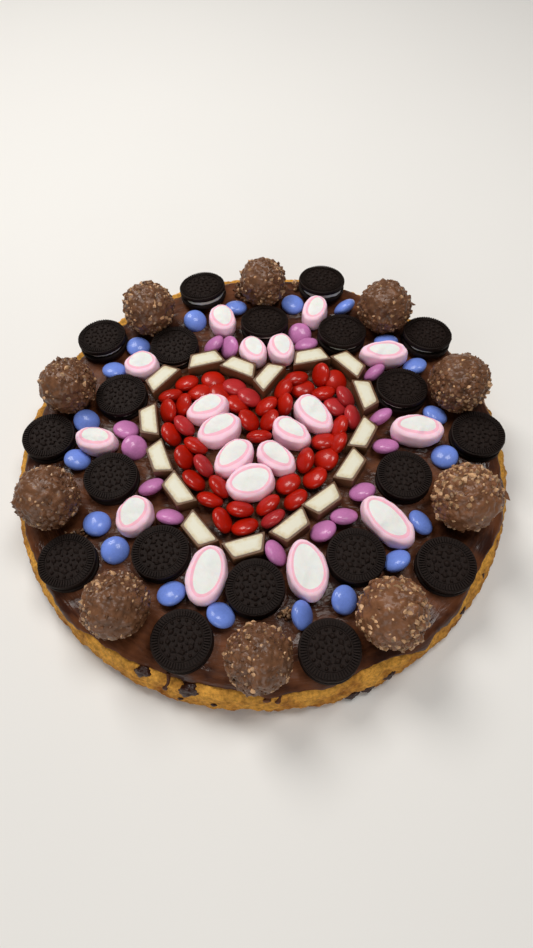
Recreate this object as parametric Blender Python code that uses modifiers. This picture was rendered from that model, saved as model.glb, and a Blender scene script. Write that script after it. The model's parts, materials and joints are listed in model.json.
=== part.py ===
"""Round cookie pizza: a thick baked cookie with chocolate spread and a pattern of sweets on top.

Metres, +Z up. The origin is the middle of the flat foot, +X is right and -Y is the front, so the
heart's point looks to the front. Every piece stands on the spread, a hair clear of it, except the
small sweets and the marshmallows inside the heart, which are one solid with the spread.
"""

import math

import bmesh
import bpy
from mathutils import Matrix, Vector, noise

MM = 0.001
GAP = 0.3 * MM

# Cookie base: a deep round that slumped outwards a little in the oven
BASE_RADIUS = 133 * MM
BASE_HEIGHT = 17.5 * MM
BASE_STEPS = 60
CRUMB_DEPTH = 0.9 * MM
FOOT_NOTCHES_DEG = (-96, -86)
NOTCH_DEPTH = 1.6 * MM
NOTCH_WIDTH_DEG = 3.0

# Chocolate spread
SPREAD_RADIUS = 127 * MM
SPREAD_THICKNESS = 2 * MM
SPREAD_WAVE = 1.6 * MM
SPREAD_SLOPE = 1.4 * MM
SPREAD_STEPS = 48
SPREAD_TOP = BASE_HEIGHT + GAP + SPREAD_THICKNESS
STAND = SPREAD_TOP + GAP

# Hazelnut pralines
PRALINE_RADIUS = 15.4 * MM
PRALINE_CRAGS = 0.8 * MM
PRALINE_STEPS = 14
PRALINE_RINGS = 8
PRALINE_FOOT = 0.9

# Mini sandwich biscuits: two dark wafers on a cream layer
BISCUIT_RADIUS = 14 * MM
BISCUIT_HEIGHT = 7.6 * MM
WAFER_HEIGHT = 2.7 * MM
CREAM_INSET = 0.9 * MM
BISCUIT_STEPS = 13

# Slices of a filled chocolate bar, cut face up
SLICE_BASE = 22 * MM
SLICE_TOP = 15 * MM
SLICE_DEPTH = 10 * MM
SLICE_HEIGHT = 8.5 * MM
SLICE_BEVEL = 0.8 * MM

# Twist marshmallows, cut across
MARSHMALLOW_HEIGHT = 12 * MM
MARSHMALLOW_STEPS = 10
CUT_SLOPE = 0.16
MARSHMALLOW_SINK = 0.8 * MM

# Sugar-coated chocolate lenses
LENS_RADIUS = 7 * MM
LENS_HALF_HEIGHT = 3.6 * MM
LENS_STEPS = 8
LENS_RINGS = 4
LENS_SINK = 1 * MM

# Pralines and biscuits take turns round the rim, ten of each, and ten more biscuits stand inside.
# Each ring has a regular step; the nudges are x, y in millimetres, as the pieces were laid by hand.
RING_STEP_DEG = 36
PRALINE_RING = {
    "centre": (0, -4),
    "radius": 109,
    "first": 85,
    "nudges": (
        (-1, 3), (-4, 2), (-3, -1), (0, -3), (2, -2), (3, -3), (-3, -3), (-3, -1), (3, 1), (7, 2),
    ),
}
PRALINE_SIZES = (0.94, 1.0, 1.0, 1.04, 1.0, 0.98, 1.04, 1.08, 1.05, 1.0)
OUTER_BISCUIT_RING = {
    "centre": (0, -1),
    "radius": 114,
    "first": 104,
    "nudges": (
        (-1, 1), (-1, 4), (1, 3), (1, -1), (2, 3), (-3, -1), (-4, -3), (1, 2), (4, 2), (2, 5),
    ),
}
INNER_BISCUIT_RING = {
    "centre": (2, 2),
    "radius": 81,
    "first": 86,
    "nudges": (
        (0, -4), (-5, -3), (-2, 2), (-1, 0), (-1, -1), (-3, -3), (-3, -3), (-5, 0), (-1, 3), (-2, 4),
    ),
}

# Biscuits that lean: place in the ring, way the top looks and lean, both in degrees
OUTER_LEANS = {1: (105, 9), 2: (110, 5), 9: (60, 8), 10: (75, 9)}
INNER_LEANS = {1: (88, 10), 9: (68, 7), 10: (75, 7)}

# Bar slices round the heart: x, y in millimetres and the way the narrow side looks in degrees
BAR_SLICES = (
    (-53, 44, 136),
    (-28, 55, 101),
    (-8, 48, 60),
    (7, 40, 141),
    (32, 52, 98),
    (54, 45, 38),
    (60, 23, 10),
    (55, -3, -32),
    (46, -22, -36),
    (30, -40, -56),
    (13, -53, -54),
    (-10, -62, -78),
    (-33, -52, -145),
    (-43, -29, -148),
    (-53, -9, -162),
    (-59, 15, -174),
)

# Marshmallows: x, y, length and width in millimetres, turn of the long axis in degrees
OUTER_MARSHMALLOWS = (
    (-17, 83, 19, 16, 115),
    (-64, 53, 20, 15, 5),
    (-86, 4, 22, 14, 170),
    (-64, -42, 21, 17, 55),
    (-29, -75, 29, 19, 72),
    (18, -76, 29, 19, 98),
    (59, -54, 32, 17, 130),
    (83, -3, 28, 15, 172),
    (74, 50, 28, 13, 176),
    (38, 86, 20, 15, 60),
    (0, 58, 18, 15, 120),
    (16, 58, 18, 15, 105),
)
HEART_MARSHMALLOWS = (
    (-27, 20, 24, 15, 20),
    (-21, 6, 25, 16, 24),
    (-14, -12, 25, 16, 38),
    (-6, -27, 26, 19, 14),
    (8, -14, 23, 15, 140),
    (17, 1, 23, 14, 145),
    (30, 12, 26, 16, 128),
)

# Blue and mauve sweets: x, y in millimetres, way the top looks and lean, both in degrees
BLUE_LENSES = (
    (-34, 89, 300, 25),
    (-9, 98, 80, 20),
    (26, 98, 320, 10),
    (57, 91, 130, 50),
    (-68, 72, 340, 10),
    (-81, 55, 60, 20),
    (-94, 20, 320, 30),
    (-97, -4, 30, 25),
    (-84, -42, 30, 10),
    (-74, -57, 300, 15),
    (-46, -81, 110, 25),
    (-23, -93, 40, 35),
    (14, -96, 350, 55),
    (34, -90, 330, 35),
    (61, -73, 130, 45),
    (76, -54, 20, 40),
    (96, -17, 170, 10),
    (96, 9, 40, 25),
    (91, 43, 130, 30),
    (78, 63, 90, 30),
)
MAUVE_LENSES = (
    (-23, 68, 150, 45),
    (-14, 65, 200, 50),
    (28, 73, 260, 25),
    (31, 64, 110, 35),
    (-72, 13, 50, 25),
    (-67, 1, 320, 30),
    (-57, -24, 115, 45),
    (-47, -42, 70, 50),
    (4, -65, 15, 55),
    (28, -55, 130, 40),
    (39, -48, 90, 45),
    (50, -35, 115, 40),
    (66, -9, 90, 40),
    (66, 9, 125, 60),
    (67, 39, 130, 60),
)

# Red sweets that fill the heart, given the same way
RED_LENSES = (
    (-39, 42, 115, 30),
    (-24, 43, 30, 15),
    (-12, 37, 50, 25),
    (-32, 35, 105, 25),
    (-20, 33, 10, 25),
    (-4, 29, 30, 30),
    (-48, 33, 105, 45),
    (-41, 26, 180, 50),
    (-49, 22, 200, 60),
    (-11, 25, 35, 30),
    (5, 22, 140, 40),
    (-5, 13, 10, 45),
    (6, 12, 165, 50),
    (-40, 12, 25, 55),
    (-47, 7, 5, 55),
    (-34, -1, 45, 50),
    (-40, -8, 355, 55),
    (0, 2, 90, 55),
    (-30, -14, 20, 60),
    (-35, -22, 30, 50),
    (-22, -27, 25, 60),
    (-27, -34, 65, 55),
    (-12, -40, 75, 45),
    (-21, -46, 10, 60),
    (-10, -50, 105, 45),
    (2, -39, 135, 50),
    (4, -47, 125, 60),
    (16, -37, 140, 45),
    (13, -27, 135, 30),
    (27, -25, 145, 35),
    (23, -15, 175, 60),
    (34, -14, 175, 25),
    (34, -3, 105, 30),
    (41, -6, 155, 60),
    (43, 4, 165, 60),
    (51, 10, 350, 60),
    (43, 19, 30, 25),
    (49, 24, 10, 50),
    (37, 28, 105, 40),
    (26, 33, 110, 15),
    (15, 21, 180, 60),
    (15, 32, 165, 50),
    (23, 40, 105, 35),
    (37, 40, 195, 60),
    (45, 36, 320, 30),
)


def new_collection(name):
    """Adds a collection to the scene and returns it."""
    collection = bpy.data.collections.new(name)
    bpy.context.scene.collection.children.link(collection)
    return collection


def make_material(name, colour, roughness):
    """A plain Principled material; colour is linear red, green, blue."""
    material = bpy.data.materials.new(name)
    material.use_nodes = True
    shader = material.node_tree.nodes["Principled BSDF"]
    shader.inputs["Base Color"].default_value = (*colour, 1)
    shader.inputs["Roughness"].default_value = roughness
    shader.inputs["Metallic"].default_value = 0
    return material


def add_object(name, mesh, collection, material):
    """Links a new object for this mesh to the collection."""
    piece = bpy.data.objects.new(name, mesh)
    collection.objects.link(piece)
    if not mesh.materials:
        mesh.materials.append(material)
    return piece


def evaluated_mesh(piece, name):
    """The mesh with its modifiers applied; the piece itself is removed."""
    graph = bpy.context.evaluated_depsgraph_get()
    mesh = bpy.data.meshes.new_from_object(piece.evaluated_get(graph))
    mesh.name = name
    bpy.data.objects.remove(piece)
    return mesh


def turned_mesh(name, profile, steps):
    """Turns a profile of (radius, height) points, listed top to bottom, round the Z axis."""
    line = bpy.data.meshes.new(name + "_profile")
    edges = [(i, i + 1) for i in range(len(profile) - 1)]
    line.from_pydata([(r, 0, z) for r, z in profile], edges, [])
    piece = bpy.data.objects.new(name + "_profile", line)
    bpy.context.scene.collection.objects.link(piece)
    screw = piece.modifiers.new("turn", "SCREW")
    screw.steps = steps
    screw.render_steps = steps
    screw.use_merge_vertices = True
    screw.merge_threshold = 0.01 * MM
    screw.use_smooth_shade = True
    return evaluated_mesh(piece, name)


def smooth_shading(mesh, sharp_deg):
    """Rounded look, with edges sharper than this angle kept crisp."""
    mesh.shade_smooth()
    mesh.set_sharp_from_angle(angle=math.radians(sharp_deg))


def leaning(facing_deg, lean_deg, turn_deg=0.0):
    """Rotation that spins a piece about +Z, then leans its top towards facing_deg."""
    facing = math.radians(facing_deg)
    axis = Vector((-math.sin(facing), math.cos(facing), 0))
    lean = Matrix.Rotation(math.radians(lean_deg), 3, axis)
    return lean @ Matrix.Rotation(math.radians(turn_deg), 3, "Z")


def ring_place(ring, index):
    """Place of one piece of a ring, in metres."""
    angle = math.radians(ring["first"] + RING_STEP_DEG * index)
    nudge_x, nudge_y = ring["nudges"][index]
    x = ring["centre"][0] + ring["radius"] * math.cos(angle) + nudge_x
    y = ring["centre"][1] + ring["radius"] * math.sin(angle) + nudge_y
    return Vector((x, y, 0)) * MM


def notch(angle):
    """How far a foot notch cuts in at this angle."""
    depth = 0.0
    for centre in FOOT_NOTCHES_DEG:
        away = math.degrees(angle) - centre
        depth += NOTCH_DEPTH * math.exp(-((away / NOTCH_WIDTH_DEG) ** 2))
    return depth


def build_base(collection, material):
    """The cookie: flat foot, slumped side with crumbly relief, rounded shoulder, flat top."""
    r, h = BASE_RADIUS, BASE_HEIGHT
    profile = (
        (0, h),
        (r - 7.5 * MM, h),
        (r - 4.2 * MM, h - 0.8 * MM),
        (r - 2.0 * MM, h - 3.4 * MM),
        (r - 0.8 * MM, h - 7.2 * MM),
        (r, h * 0.22),
        (r - 0.6 * MM, h * 0.06),
        (r - 2.2 * MM, 0),
        (0, 0),
    )
    mesh = turned_mesh("cookie_base", profile, BASE_STEPS)
    inner = r - 6 * MM
    for vertex in mesh.vertices:
        flat = Vector((vertex.co.x, vertex.co.y, 0))
        if flat.length < inner:
            continue
        angle = math.atan2(flat.y, flat.x)
        crumb = noise.noise(vertex.co * 90) + 0.6 * noise.noise(vertex.co * 260)
        push = CRUMB_DEPTH * crumb
        if vertex.co.z < 0.4 * h:
            push -= notch(angle)
        vertex.co += flat.normalized() * min(push, 0.8 * CRUMB_DEPTH)
    smooth_shading(mesh, 50)
    return add_object("cookie_base", mesh, collection, material)


def spread_edge(angle):
    """Radius of the spread's uneven outline at this angle."""
    wave = noise.noise(Vector((math.cos(angle), math.sin(angle), 0.3)) * 4.0)
    wave += 0.5 * noise.noise(Vector((math.cos(angle), math.sin(angle), 0.7)) * 11.0)
    return SPREAD_RADIUS + SPREAD_WAVE * wave


def build_spread(collection, material):
    """The chocolate layer: a flat round whose outline runs unevenly to the rim."""
    mesh = bpy.data.meshes.new("chocolate_spread")
    shape = bmesh.new()
    bmesh.ops.create_cone(
        shape,
        cap_ends=True,
        segments=SPREAD_STEPS,
        radius1=SPREAD_RADIUS,
        radius2=SPREAD_RADIUS - SPREAD_SLOPE,
        depth=SPREAD_THICKNESS,
    )
    for vertex in shape.verts:
        angle = math.atan2(vertex.co.y, vertex.co.x)
        scale = spread_edge(angle) / SPREAD_RADIUS
        vertex.co.x *= scale
        vertex.co.y *= scale
        vertex.co.z += SPREAD_TOP - SPREAD_THICKNESS / 2
    shape.to_mesh(mesh)
    shape.free()
    return add_object("chocolate_spread", mesh, collection, material)


def praline_mesh(name, seed):
    """A ball with nut crags, settled on a small flat foot."""
    mesh = bpy.data.meshes.new(name)
    shape = bmesh.new()
    bmesh.ops.create_uvsphere(
        shape, u_segments=PRALINE_STEPS, v_segments=PRALINE_RINGS, radius=PRALINE_RADIUS
    )
    offset = Vector((seed * 3.1, seed * 1.7, seed * 2.3))
    foot = -PRALINE_FOOT * PRALINE_RADIUS
    for vertex in shape.verts:
        crag = PRALINE_CRAGS * noise.noise(vertex.co * 190 + offset)
        vertex.co += vertex.co.normalized() * crag
        vertex.co.z = max(vertex.co.z, foot)
    bmesh.ops.remove_doubles(shape, verts=shape.verts, dist=0.05 * MM)
    shape.to_mesh(mesh)
    shape.free()
    mesh.shade_smooth()
    return mesh


def build_pralines(collection, material):
    """Ten pralines of slightly different size on the outer ring."""
    meshes = [praline_mesh(f"praline_{seed}", seed) for seed in (1, 2, 3)]
    for index, size in enumerate(PRALINE_SIZES):
        mesh = meshes[index % len(meshes)]
        piece = add_object(f"praline_{index + 1:02d}", mesh, collection, material)
        piece.scale = (size, size, size)
        piece.rotation_euler.z = math.radians(67 * index)
        piece.location = ring_place(PRALINE_RING, index)
        piece.location.z = STAND + size * PRALINE_FOOT * PRALINE_RADIUS


def biscuit_mesh():
    """Two wafers with the cream set in between them, foot at z = 0."""
    r, h = BISCUIT_RADIUS, BISCUIT_HEIGHT
    groove = (r - CREAM_INSET, h / 2)
    profile = ((0, h), (r, h), (r, h - WAFER_HEIGHT), groove, (r, WAFER_HEIGHT), (r, 0), (0, 0))
    mesh = turned_mesh("sandwich_biscuit", profile, BISCUIT_STEPS)
    smooth_shading(mesh, 40)
    return mesh


def build_biscuits(collection, material):
    """Both rings of biscuits; a leaning one touches down on its low edge."""
    mesh = biscuit_mesh()
    rings = (
        ("outer", OUTER_BISCUIT_RING, OUTER_LEANS),
        ("inner", INNER_BISCUIT_RING, INNER_LEANS),
    )
    for label, ring, leans in rings:
        for index in range(len(ring["nudges"])):
            facing, lean = leans.get(index + 1, (0, 0))
            name = f"biscuit_{label}_{index + 1:02d}"
            piece = add_object(name, mesh, collection, material)
            piece.rotation_euler = leaning(facing, lean).to_euler()
            piece.location = ring_place(ring, index)
            piece.location.z = STAND + BISCUIT_RADIUS * math.sin(math.radians(lean))


def build_slices(collection, material):
    """Bar slices: blocks that narrow to one side, with softened edges, end to end in a heart."""
    for index, (x, y, out_deg) in enumerate(BAR_SLICES):
        mesh = bpy.data.meshes.new(f"bar_slice_{index + 1:02d}")
        shape = bmesh.new()
        bmesh.ops.create_cube(shape, size=1)
        for vertex in shape.verts:
            width = SLICE_TOP if vertex.co.y > 0 else SLICE_BASE
            vertex.co.x *= width
            vertex.co.y *= SLICE_DEPTH
            vertex.co.z = (vertex.co.z + 0.5) * SLICE_HEIGHT
        shape.to_mesh(mesh)
        shape.free()
        piece = add_object(mesh.name, mesh, collection, material)
        bevel = piece.modifiers.new("soft_edges", "BEVEL")
        bevel.width = SLICE_BEVEL
        bevel.segments = 1
        piece.rotation_euler.z = math.radians(out_deg - 90)
        piece.location = (x * MM, y * MM, STAND)


def marshmallow_mesh(name, length, width, turn_deg):
    """An oval pillow, cut flat on top, the cut tipped a little towards the front."""
    profile = ((0, 1), (0.74, 1), (0.96, 0.78), (1, 0.5), (0.9, 0.16), (0.7, 0), (0, 0))
    mesh = turned_mesh(name, profile, MARSHMALLOW_STEPS)
    size = Matrix.Diagonal((length * MM / 2, width * MM / 2, MARSHMALLOW_HEIGHT, 1))
    mesh.transform(Matrix.Rotation(math.radians(turn_deg), 4, "Z") @ size)
    for vertex in mesh.vertices:
        share = vertex.co.z / MARSHMALLOW_HEIGHT
        vertex.co.z += CUT_SLOPE * share * vertex.co.y
    smooth_shading(mesh, 60)
    return mesh


def build_marshmallows(collection, material):
    """The marshmallows between the rings and the heart, each a piece of its own."""
    for index, (x, y, length, width, turn) in enumerate(OUTER_MARSHMALLOWS):
        name = f"marshmallow_{index + 1:02d}"
        mesh = marshmallow_mesh(name, length, width, turn)
        piece = add_object(name, mesh, collection, material)
        piece.location = (x * MM, y * MM, STAND)


def lens_mesh():
    """One lens sweet, middle at the origin."""
    mesh = bpy.data.meshes.new("lens_sweet")
    shape = bmesh.new()
    bmesh.ops.create_uvsphere(shape, u_segments=LENS_STEPS, v_segments=LENS_RINGS, radius=1)
    corner = 1 / math.sqrt(math.cos(math.pi / LENS_STEPS))
    size = Vector((LENS_RADIUS * corner, LENS_RADIUS * corner, LENS_HALF_HEIGHT))
    bmesh.ops.scale(shape, vec=size, verts=shape.verts)
    shape.to_mesh(mesh)
    shape.free()
    mesh.shade_smooth()
    return mesh


def lens_height(lean_deg):
    """Height of a lens's middle above the spread when it leans by this much and sinks in."""
    lean = math.radians(lean_deg)
    reach = math.hypot(LENS_HALF_HEIGHT * math.cos(lean), LENS_RADIUS * math.sin(lean))
    return reach - LENS_SINK


def fuse_toppings(spread, materials):
    """Joins the lens sweets and the heart's marshmallows to the spread as one solid."""
    toppings = new_collection("spread_toppings")
    groups = (
        ("blue", BLUE_LENSES),
        ("mauve", MAUVE_LENSES),
        ("red", RED_LENSES),
    )
    for colour, places in groups:
        mesh = lens_mesh()
        for index, (x, y, facing, lean) in enumerate(places):
            piece = add_object(f"{colour}_{index + 1:02d}", mesh, toppings, materials[colour])
            piece.rotation_euler = leaning(facing, lean, turn_deg=37 * index).to_euler()
            piece.location = (x * MM, y * MM, SPREAD_TOP + lens_height(lean))
    for index, (x, y, length, width, turn) in enumerate(HEART_MARSHMALLOWS):
        name = f"heart_marshmallow_{index + 1}"
        mesh = marshmallow_mesh(name, length, width, turn)
        piece = add_object(name, mesh, toppings, materials["marshmallow"])
        piece.location = (x * MM, y * MM, SPREAD_TOP - MARSHMALLOW_SINK)
    union = spread.modifiers.new("fuse", "BOOLEAN")
    union.operation = "UNION"
    union.operand_type = "COLLECTION"
    union.collection = toppings
    union.solver = "EXACT"
    union.material_mode = "TRANSFER"
    bpy.context.view_layer.objects.active = spread
    bpy.ops.object.modifier_apply(modifier=union.name)
    for piece in list(toppings.objects):
        bpy.data.objects.remove(piece)
    bpy.data.collections.remove(toppings)
    smooth_shading(spread.data, 50)


def main():
    """Clears the scene and builds the cookie pizza."""
    for old in list(bpy.data.objects):
        bpy.data.objects.remove(old)
    pizza = new_collection("cookie_pizza")
    materials = {
        "crust": make_material("golden_crust", (0.50, 0.25, 0.06), 0.85),
        "spread": make_material("chocolate_spread", (0.07, 0.03, 0.02), 0.3),
        "praline": make_material("milk_chocolate_nuts", (0.15, 0.075, 0.045), 0.55),
        "biscuit": make_material("dark_wafer", (0.02, 0.015, 0.013), 0.75),
        "bar": make_material("filled_chocolate_bar", (0.2, 0.09, 0.04), 0.5),
        "marshmallow": make_material("pink_marshmallow", (0.88, 0.47, 0.56), 0.8),
        "red": make_material("red_sugar_shell", (0.55, 0.012, 0.008), 0.25),
        "blue": make_material("blue_sugar_shell", (0.16, 0.25, 0.7), 0.25),
        "mauve": make_material("mauve_sugar_shell", (0.6, 0.2, 0.56), 0.25),
    }
    build_base(pizza, materials["crust"])
    spread = build_spread(pizza, materials["spread"])
    fuse_toppings(spread, materials)
    build_pralines(pizza, materials["praline"])
    build_biscuits(pizza, materials["biscuit"])
    build_slices(pizza, materials["bar"])
    build_marshmallows(pizza, materials["marshmallow"])


if __name__ == "__main__":
    main()
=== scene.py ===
"""Looks of a round cookie pizza: crust, spread, biscuits and sweets modelled over its solids.

Run in Blender 4.5. Metres, +Z up; the heart's point looks to -Y, the front.
"""

import json
import math
import random

import bmesh
import bpy
from mathutils import Matrix, Vector, noise

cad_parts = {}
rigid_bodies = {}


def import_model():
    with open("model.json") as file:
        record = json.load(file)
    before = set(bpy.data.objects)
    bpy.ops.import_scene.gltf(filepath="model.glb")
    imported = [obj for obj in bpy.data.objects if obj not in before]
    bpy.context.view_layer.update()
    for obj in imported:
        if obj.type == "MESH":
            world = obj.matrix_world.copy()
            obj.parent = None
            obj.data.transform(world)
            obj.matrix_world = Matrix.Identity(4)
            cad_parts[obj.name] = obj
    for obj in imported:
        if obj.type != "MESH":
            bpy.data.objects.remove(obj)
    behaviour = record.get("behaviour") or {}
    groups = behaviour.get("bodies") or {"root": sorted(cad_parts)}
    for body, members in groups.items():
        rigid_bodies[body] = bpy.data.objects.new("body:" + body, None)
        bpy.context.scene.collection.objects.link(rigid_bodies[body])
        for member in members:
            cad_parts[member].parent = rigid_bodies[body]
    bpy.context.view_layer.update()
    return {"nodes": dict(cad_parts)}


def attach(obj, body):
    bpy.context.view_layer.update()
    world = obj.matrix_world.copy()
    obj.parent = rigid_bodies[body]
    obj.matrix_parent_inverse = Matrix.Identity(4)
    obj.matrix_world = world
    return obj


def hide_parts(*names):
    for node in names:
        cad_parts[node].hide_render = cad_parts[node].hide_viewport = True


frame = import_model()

bl_info = {
    "name": "Cookie pizza",
    "version": (1, 0, 0),
    "blender": (4, 5, 0),
    "location": "View3D > Sidebar > Cookie pizza",
    "description": "Models a round cookie with chocolate spread and a heart of sweets",
    "category": "Add Mesh",
}

MM = 0.001
BODY = "root"

# Sizes that the solids have too
BASE_RADIUS = 133 * MM
BASE_HEIGHT = 17.5 * MM
GAP = 0.3 * MM
FOOT_NOTCHES_DEG = (-96, -86)
NOTCH_DEPTH = 1.6 * MM
NOTCH_WIDTH_DEG = 3.0
SPREAD_RADIUS = 127 * MM
SPREAD_WAVE = 1.6 * MM
SPREAD_THICKNESS = 2 * MM
SPREAD_TOP = BASE_HEIGHT + GAP + SPREAD_THICKNESS
STAND = SPREAD_TOP + GAP
PRALINE_RADIUS = 15.4 * MM
PRALINE_FOOT = 0.9
BISCUIT_RADIUS = 14 * MM
BISCUIT_HEIGHT = 7.6 * MM
WAFER_HEIGHT = 2.7 * MM
SLICE_BASE = 22 * MM
SLICE_TOP = 15 * MM
SLICE_DEPTH = 10 * MM
SLICE_HEIGHT = 8.5 * MM
MARSHMALLOW_HEIGHT = 12 * MM
CUT_SLOPE = 0.16
MARSHMALLOW_SINK = 0.8 * MM
LENS_RADIUS = 7 * MM
LENS_HALF_HEIGHT = 3.6 * MM
LENS_SINK = 1 * MM

# Places of the toppings, as the solids have them. Lists of places are in millimetres and degrees.
RING_STEP_DEG = 36
PRALINE_RING = {
    "centre": (0, -4),
    "radius": 109,
    "first": 85,
    "nudges": (
        (-1, 3), (-4, 2), (-3, -1), (0, -3), (2, -2), (3, -3), (-3, -3), (-3, -1), (3, 1), (7, 2),
    ),
}
PRALINE_SIZES = (0.94, 1.0, 1.0, 1.04, 1.0, 0.98, 1.04, 1.08, 1.05, 1.0)
OUTER_BISCUIT_RING = {
    "centre": (0, -1),
    "radius": 114,
    "first": 104,
    "nudges": (
        (-1, 1), (-1, 4), (1, 3), (1, -1), (2, 3), (-3, -1), (-4, -3), (1, 2), (4, 2), (2, 5),
    ),
}
INNER_BISCUIT_RING = {
    "centre": (2, 2),
    "radius": 81,
    "first": 86,
    "nudges": (
        (0, -4), (-5, -3), (-2, 2), (-1, 0), (-1, -1), (-3, -3), (-3, -3), (-5, 0), (-1, 3), (-2, 4),
    ),
}
OUTER_LEANS = {1: (105, 9), 2: (110, 5), 9: (60, 8), 10: (75, 9)}
INNER_LEANS = {1: (88, 10), 9: (68, 7), 10: (75, 7)}
BAR_SLICES = (
    (-53, 44, 136),
    (-28, 55, 101),
    (-8, 48, 60),
    (7, 40, 141),
    (32, 52, 98),
    (54, 45, 38),
    (60, 23, 10),
    (55, -3, -32),
    (46, -22, -36),
    (30, -40, -56),
    (13, -53, -54),
    (-10, -62, -78),
    (-33, -52, -145),
    (-43, -29, -148),
    (-53, -9, -162),
    (-59, 15, -174),
)
OUTER_MARSHMALLOWS = (
    (-17, 83, 19, 16, 115),
    (-64, 53, 20, 15, 5),
    (-86, 4, 22, 14, 170),
    (-64, -42, 21, 17, 55),
    (-29, -75, 29, 19, 72),
    (18, -76, 29, 19, 98),
    (59, -54, 32, 17, 130),
    (83, -3, 28, 15, 172),
    (74, 50, 28, 13, 176),
    (38, 86, 20, 15, 60),
    (0, 58, 18, 15, 120),
    (16, 58, 18, 15, 105),
)
HEART_MARSHMALLOWS = (
    (-27, 20, 24, 15, 20),
    (-21, 6, 25, 16, 24),
    (-14, -12, 25, 16, 38),
    (-6, -27, 26, 19, 14),
    (8, -14, 23, 15, 140),
    (17, 1, 23, 14, 145),
    (30, 12, 26, 16, 128),
)
BLUE_LENSES = (
    (-34, 89, 300, 25),
    (-9, 98, 80, 20),
    (26, 98, 320, 10),
    (57, 91, 130, 50),
    (-68, 72, 340, 10),
    (-81, 55, 60, 20),
    (-94, 20, 320, 30),
    (-97, -4, 30, 25),
    (-84, -42, 30, 10),
    (-74, -57, 300, 15),
    (-46, -81, 110, 25),
    (-23, -93, 40, 35),
    (14, -96, 350, 55),
    (34, -90, 330, 35),
    (61, -73, 130, 45),
    (76, -54, 20, 40),
    (96, -17, 170, 10),
    (96, 9, 40, 25),
    (91, 43, 130, 30),
    (78, 63, 90, 30),
)
MAUVE_LENSES = (
    (-23, 68, 150, 45),
    (-14, 65, 200, 50),
    (28, 73, 260, 25),
    (31, 64, 110, 35),
    (-72, 13, 50, 25),
    (-67, 1, 320, 30),
    (-57, -24, 115, 45),
    (-47, -42, 70, 50),
    (4, -65, 15, 55),
    (28, -55, 130, 40),
    (39, -48, 90, 45),
    (50, -35, 115, 40),
    (66, -9, 90, 40),
    (66, 9, 125, 60),
    (67, 39, 130, 60),
)
RED_LENSES = (
    (-39, 42, 115, 30),
    (-24, 43, 30, 15),
    (-12, 37, 50, 25),
    (-32, 35, 105, 25),
    (-20, 33, 10, 25),
    (-4, 29, 30, 30),
    (-48, 33, 105, 45),
    (-41, 26, 180, 50),
    (-49, 22, 200, 60),
    (-11, 25, 35, 30),
    (5, 22, 140, 40),
    (-5, 13, 10, 45),
    (6, 12, 165, 50),
    (-40, 12, 25, 55),
    (-47, 7, 5, 55),
    (-34, -1, 45, 50),
    (-40, -8, 355, 55),
    (0, 2, 90, 55),
    (-30, -14, 20, 60),
    (-35, -22, 30, 50),
    (-22, -27, 25, 60),
    (-27, -34, 65, 55),
    (-12, -40, 75, 45),
    (-21, -46, 10, 60),
    (-10, -50, 105, 45),
    (2, -39, 135, 50),
    (4, -47, 125, 60),
    (16, -37, 140, 45),
    (13, -27, 135, 30),
    (27, -25, 145, 35),
    (23, -15, 175, 60),
    (34, -14, 175, 25),
    (34, -3, 105, 30),
    (41, -6, 155, 60),
    (43, 4, 165, 60),
    (51, 10, 350, 60),
    (43, 19, 30, 25),
    (49, 24, 10, 50),
    (37, 28, 105, 40),
    (26, 33, 110, 15),
    (15, 21, 180, 60),
    (15, 32, 165, 50),
    (23, 40, 105, 35),
    (37, 40, 195, 60),
    (45, 36, 320, 30),
)
# Numbers of the red sweets that are raspberry red and not orange red
RASPBERRY = (3, 6, 14, 19, 27, 36, 37, 38)

# Names of the values that say how close to the shell a point of a slice's filling is, and how deep
# between the crags a point of a praline lies, which darkens its coat as painted shade
NEAR_SHELL = "near_shell"
HOLLOW = "hollow"
# Limits of a turn drawn at random, in radians
ANY_TURN = (0, 6.28)

# Crust: where its side is widest, how it draws in above that, and how high the foot's notches reach
BELLY_HEIGHT = 4 * MM
SIDE_SLOPE = 1.2 * MM
SHOULDER_ROUNDING = 4.5 * MM
NOTCH_HEIGHT = 7 * MM
# Its crumbs: how far in from the side they reach, and the height over which they begin at the foot
CRUMBLY_RIM = 10 * MM
FLAT_FOOT = 1.2 * MM
CRUST_SIDES = 800
# Chocolate chips that show in the crust: angle in degrees, height and width in millimetres
FRONT_CHIPS = (
    (-118.0, 15.4, 10), (-108.0, 14.6, 12), (-75.0, 3.0, 8), (-71.5, 4.0, 8), (-67.0, 8.0, 7),
    (-109.5, 5.9, 3), (-102.5, 8.0, 3),
)
# The other chips are strewn at the sides and the back, between these limits
STREWN_CHIPS = 16
STREWN_ANGLES_DEG = (-55, 230)
STREWN_HEIGHTS = (3, 14)
STREWN_WIDTHS = (2.5, 5.5)

# Pralines: size of the ball under the crags, and number of spots where a bit of nut may sit
BALL_SHARE = 0.955
NUT_SPOTS = 430
GOLDEN_ANGLE = math.pi * (3 - math.sqrt(5))
# The smoother side of each praline: the way it looks and its height angle, in degrees
SMOOTH_SIDES = (
    (-150, 50), (-80, 40), (-120, 35), (-110, 70), (-60, 40),
    (-40, 40), (-150, 60), (-90, 20), (110, 60), (-120, 60),
)
# Share of each praline's bits of nut that chocolate doesn't cover
BARE_SHARES = (0.45, 0.65, 0.3, 0.3, 0.4, 0.5, 0.85, 0.9, 0.5, 0.3)
# Numbers of the pralines whose chocolate ran thin, which makes them paler
PALE_PRALINES = (7, 8)

# Biscuits: how far in from its edge the ridges of the rim start and end, in millimetres, and how
# wide a ridge and the gap after it are together
RIDGE_START = 0.9
RIDGE_END = 3.6
RIDGE_STEP_DEG = 6
STAMPED_SIDES = 120
PLAIN_SIDES = 72
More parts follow.
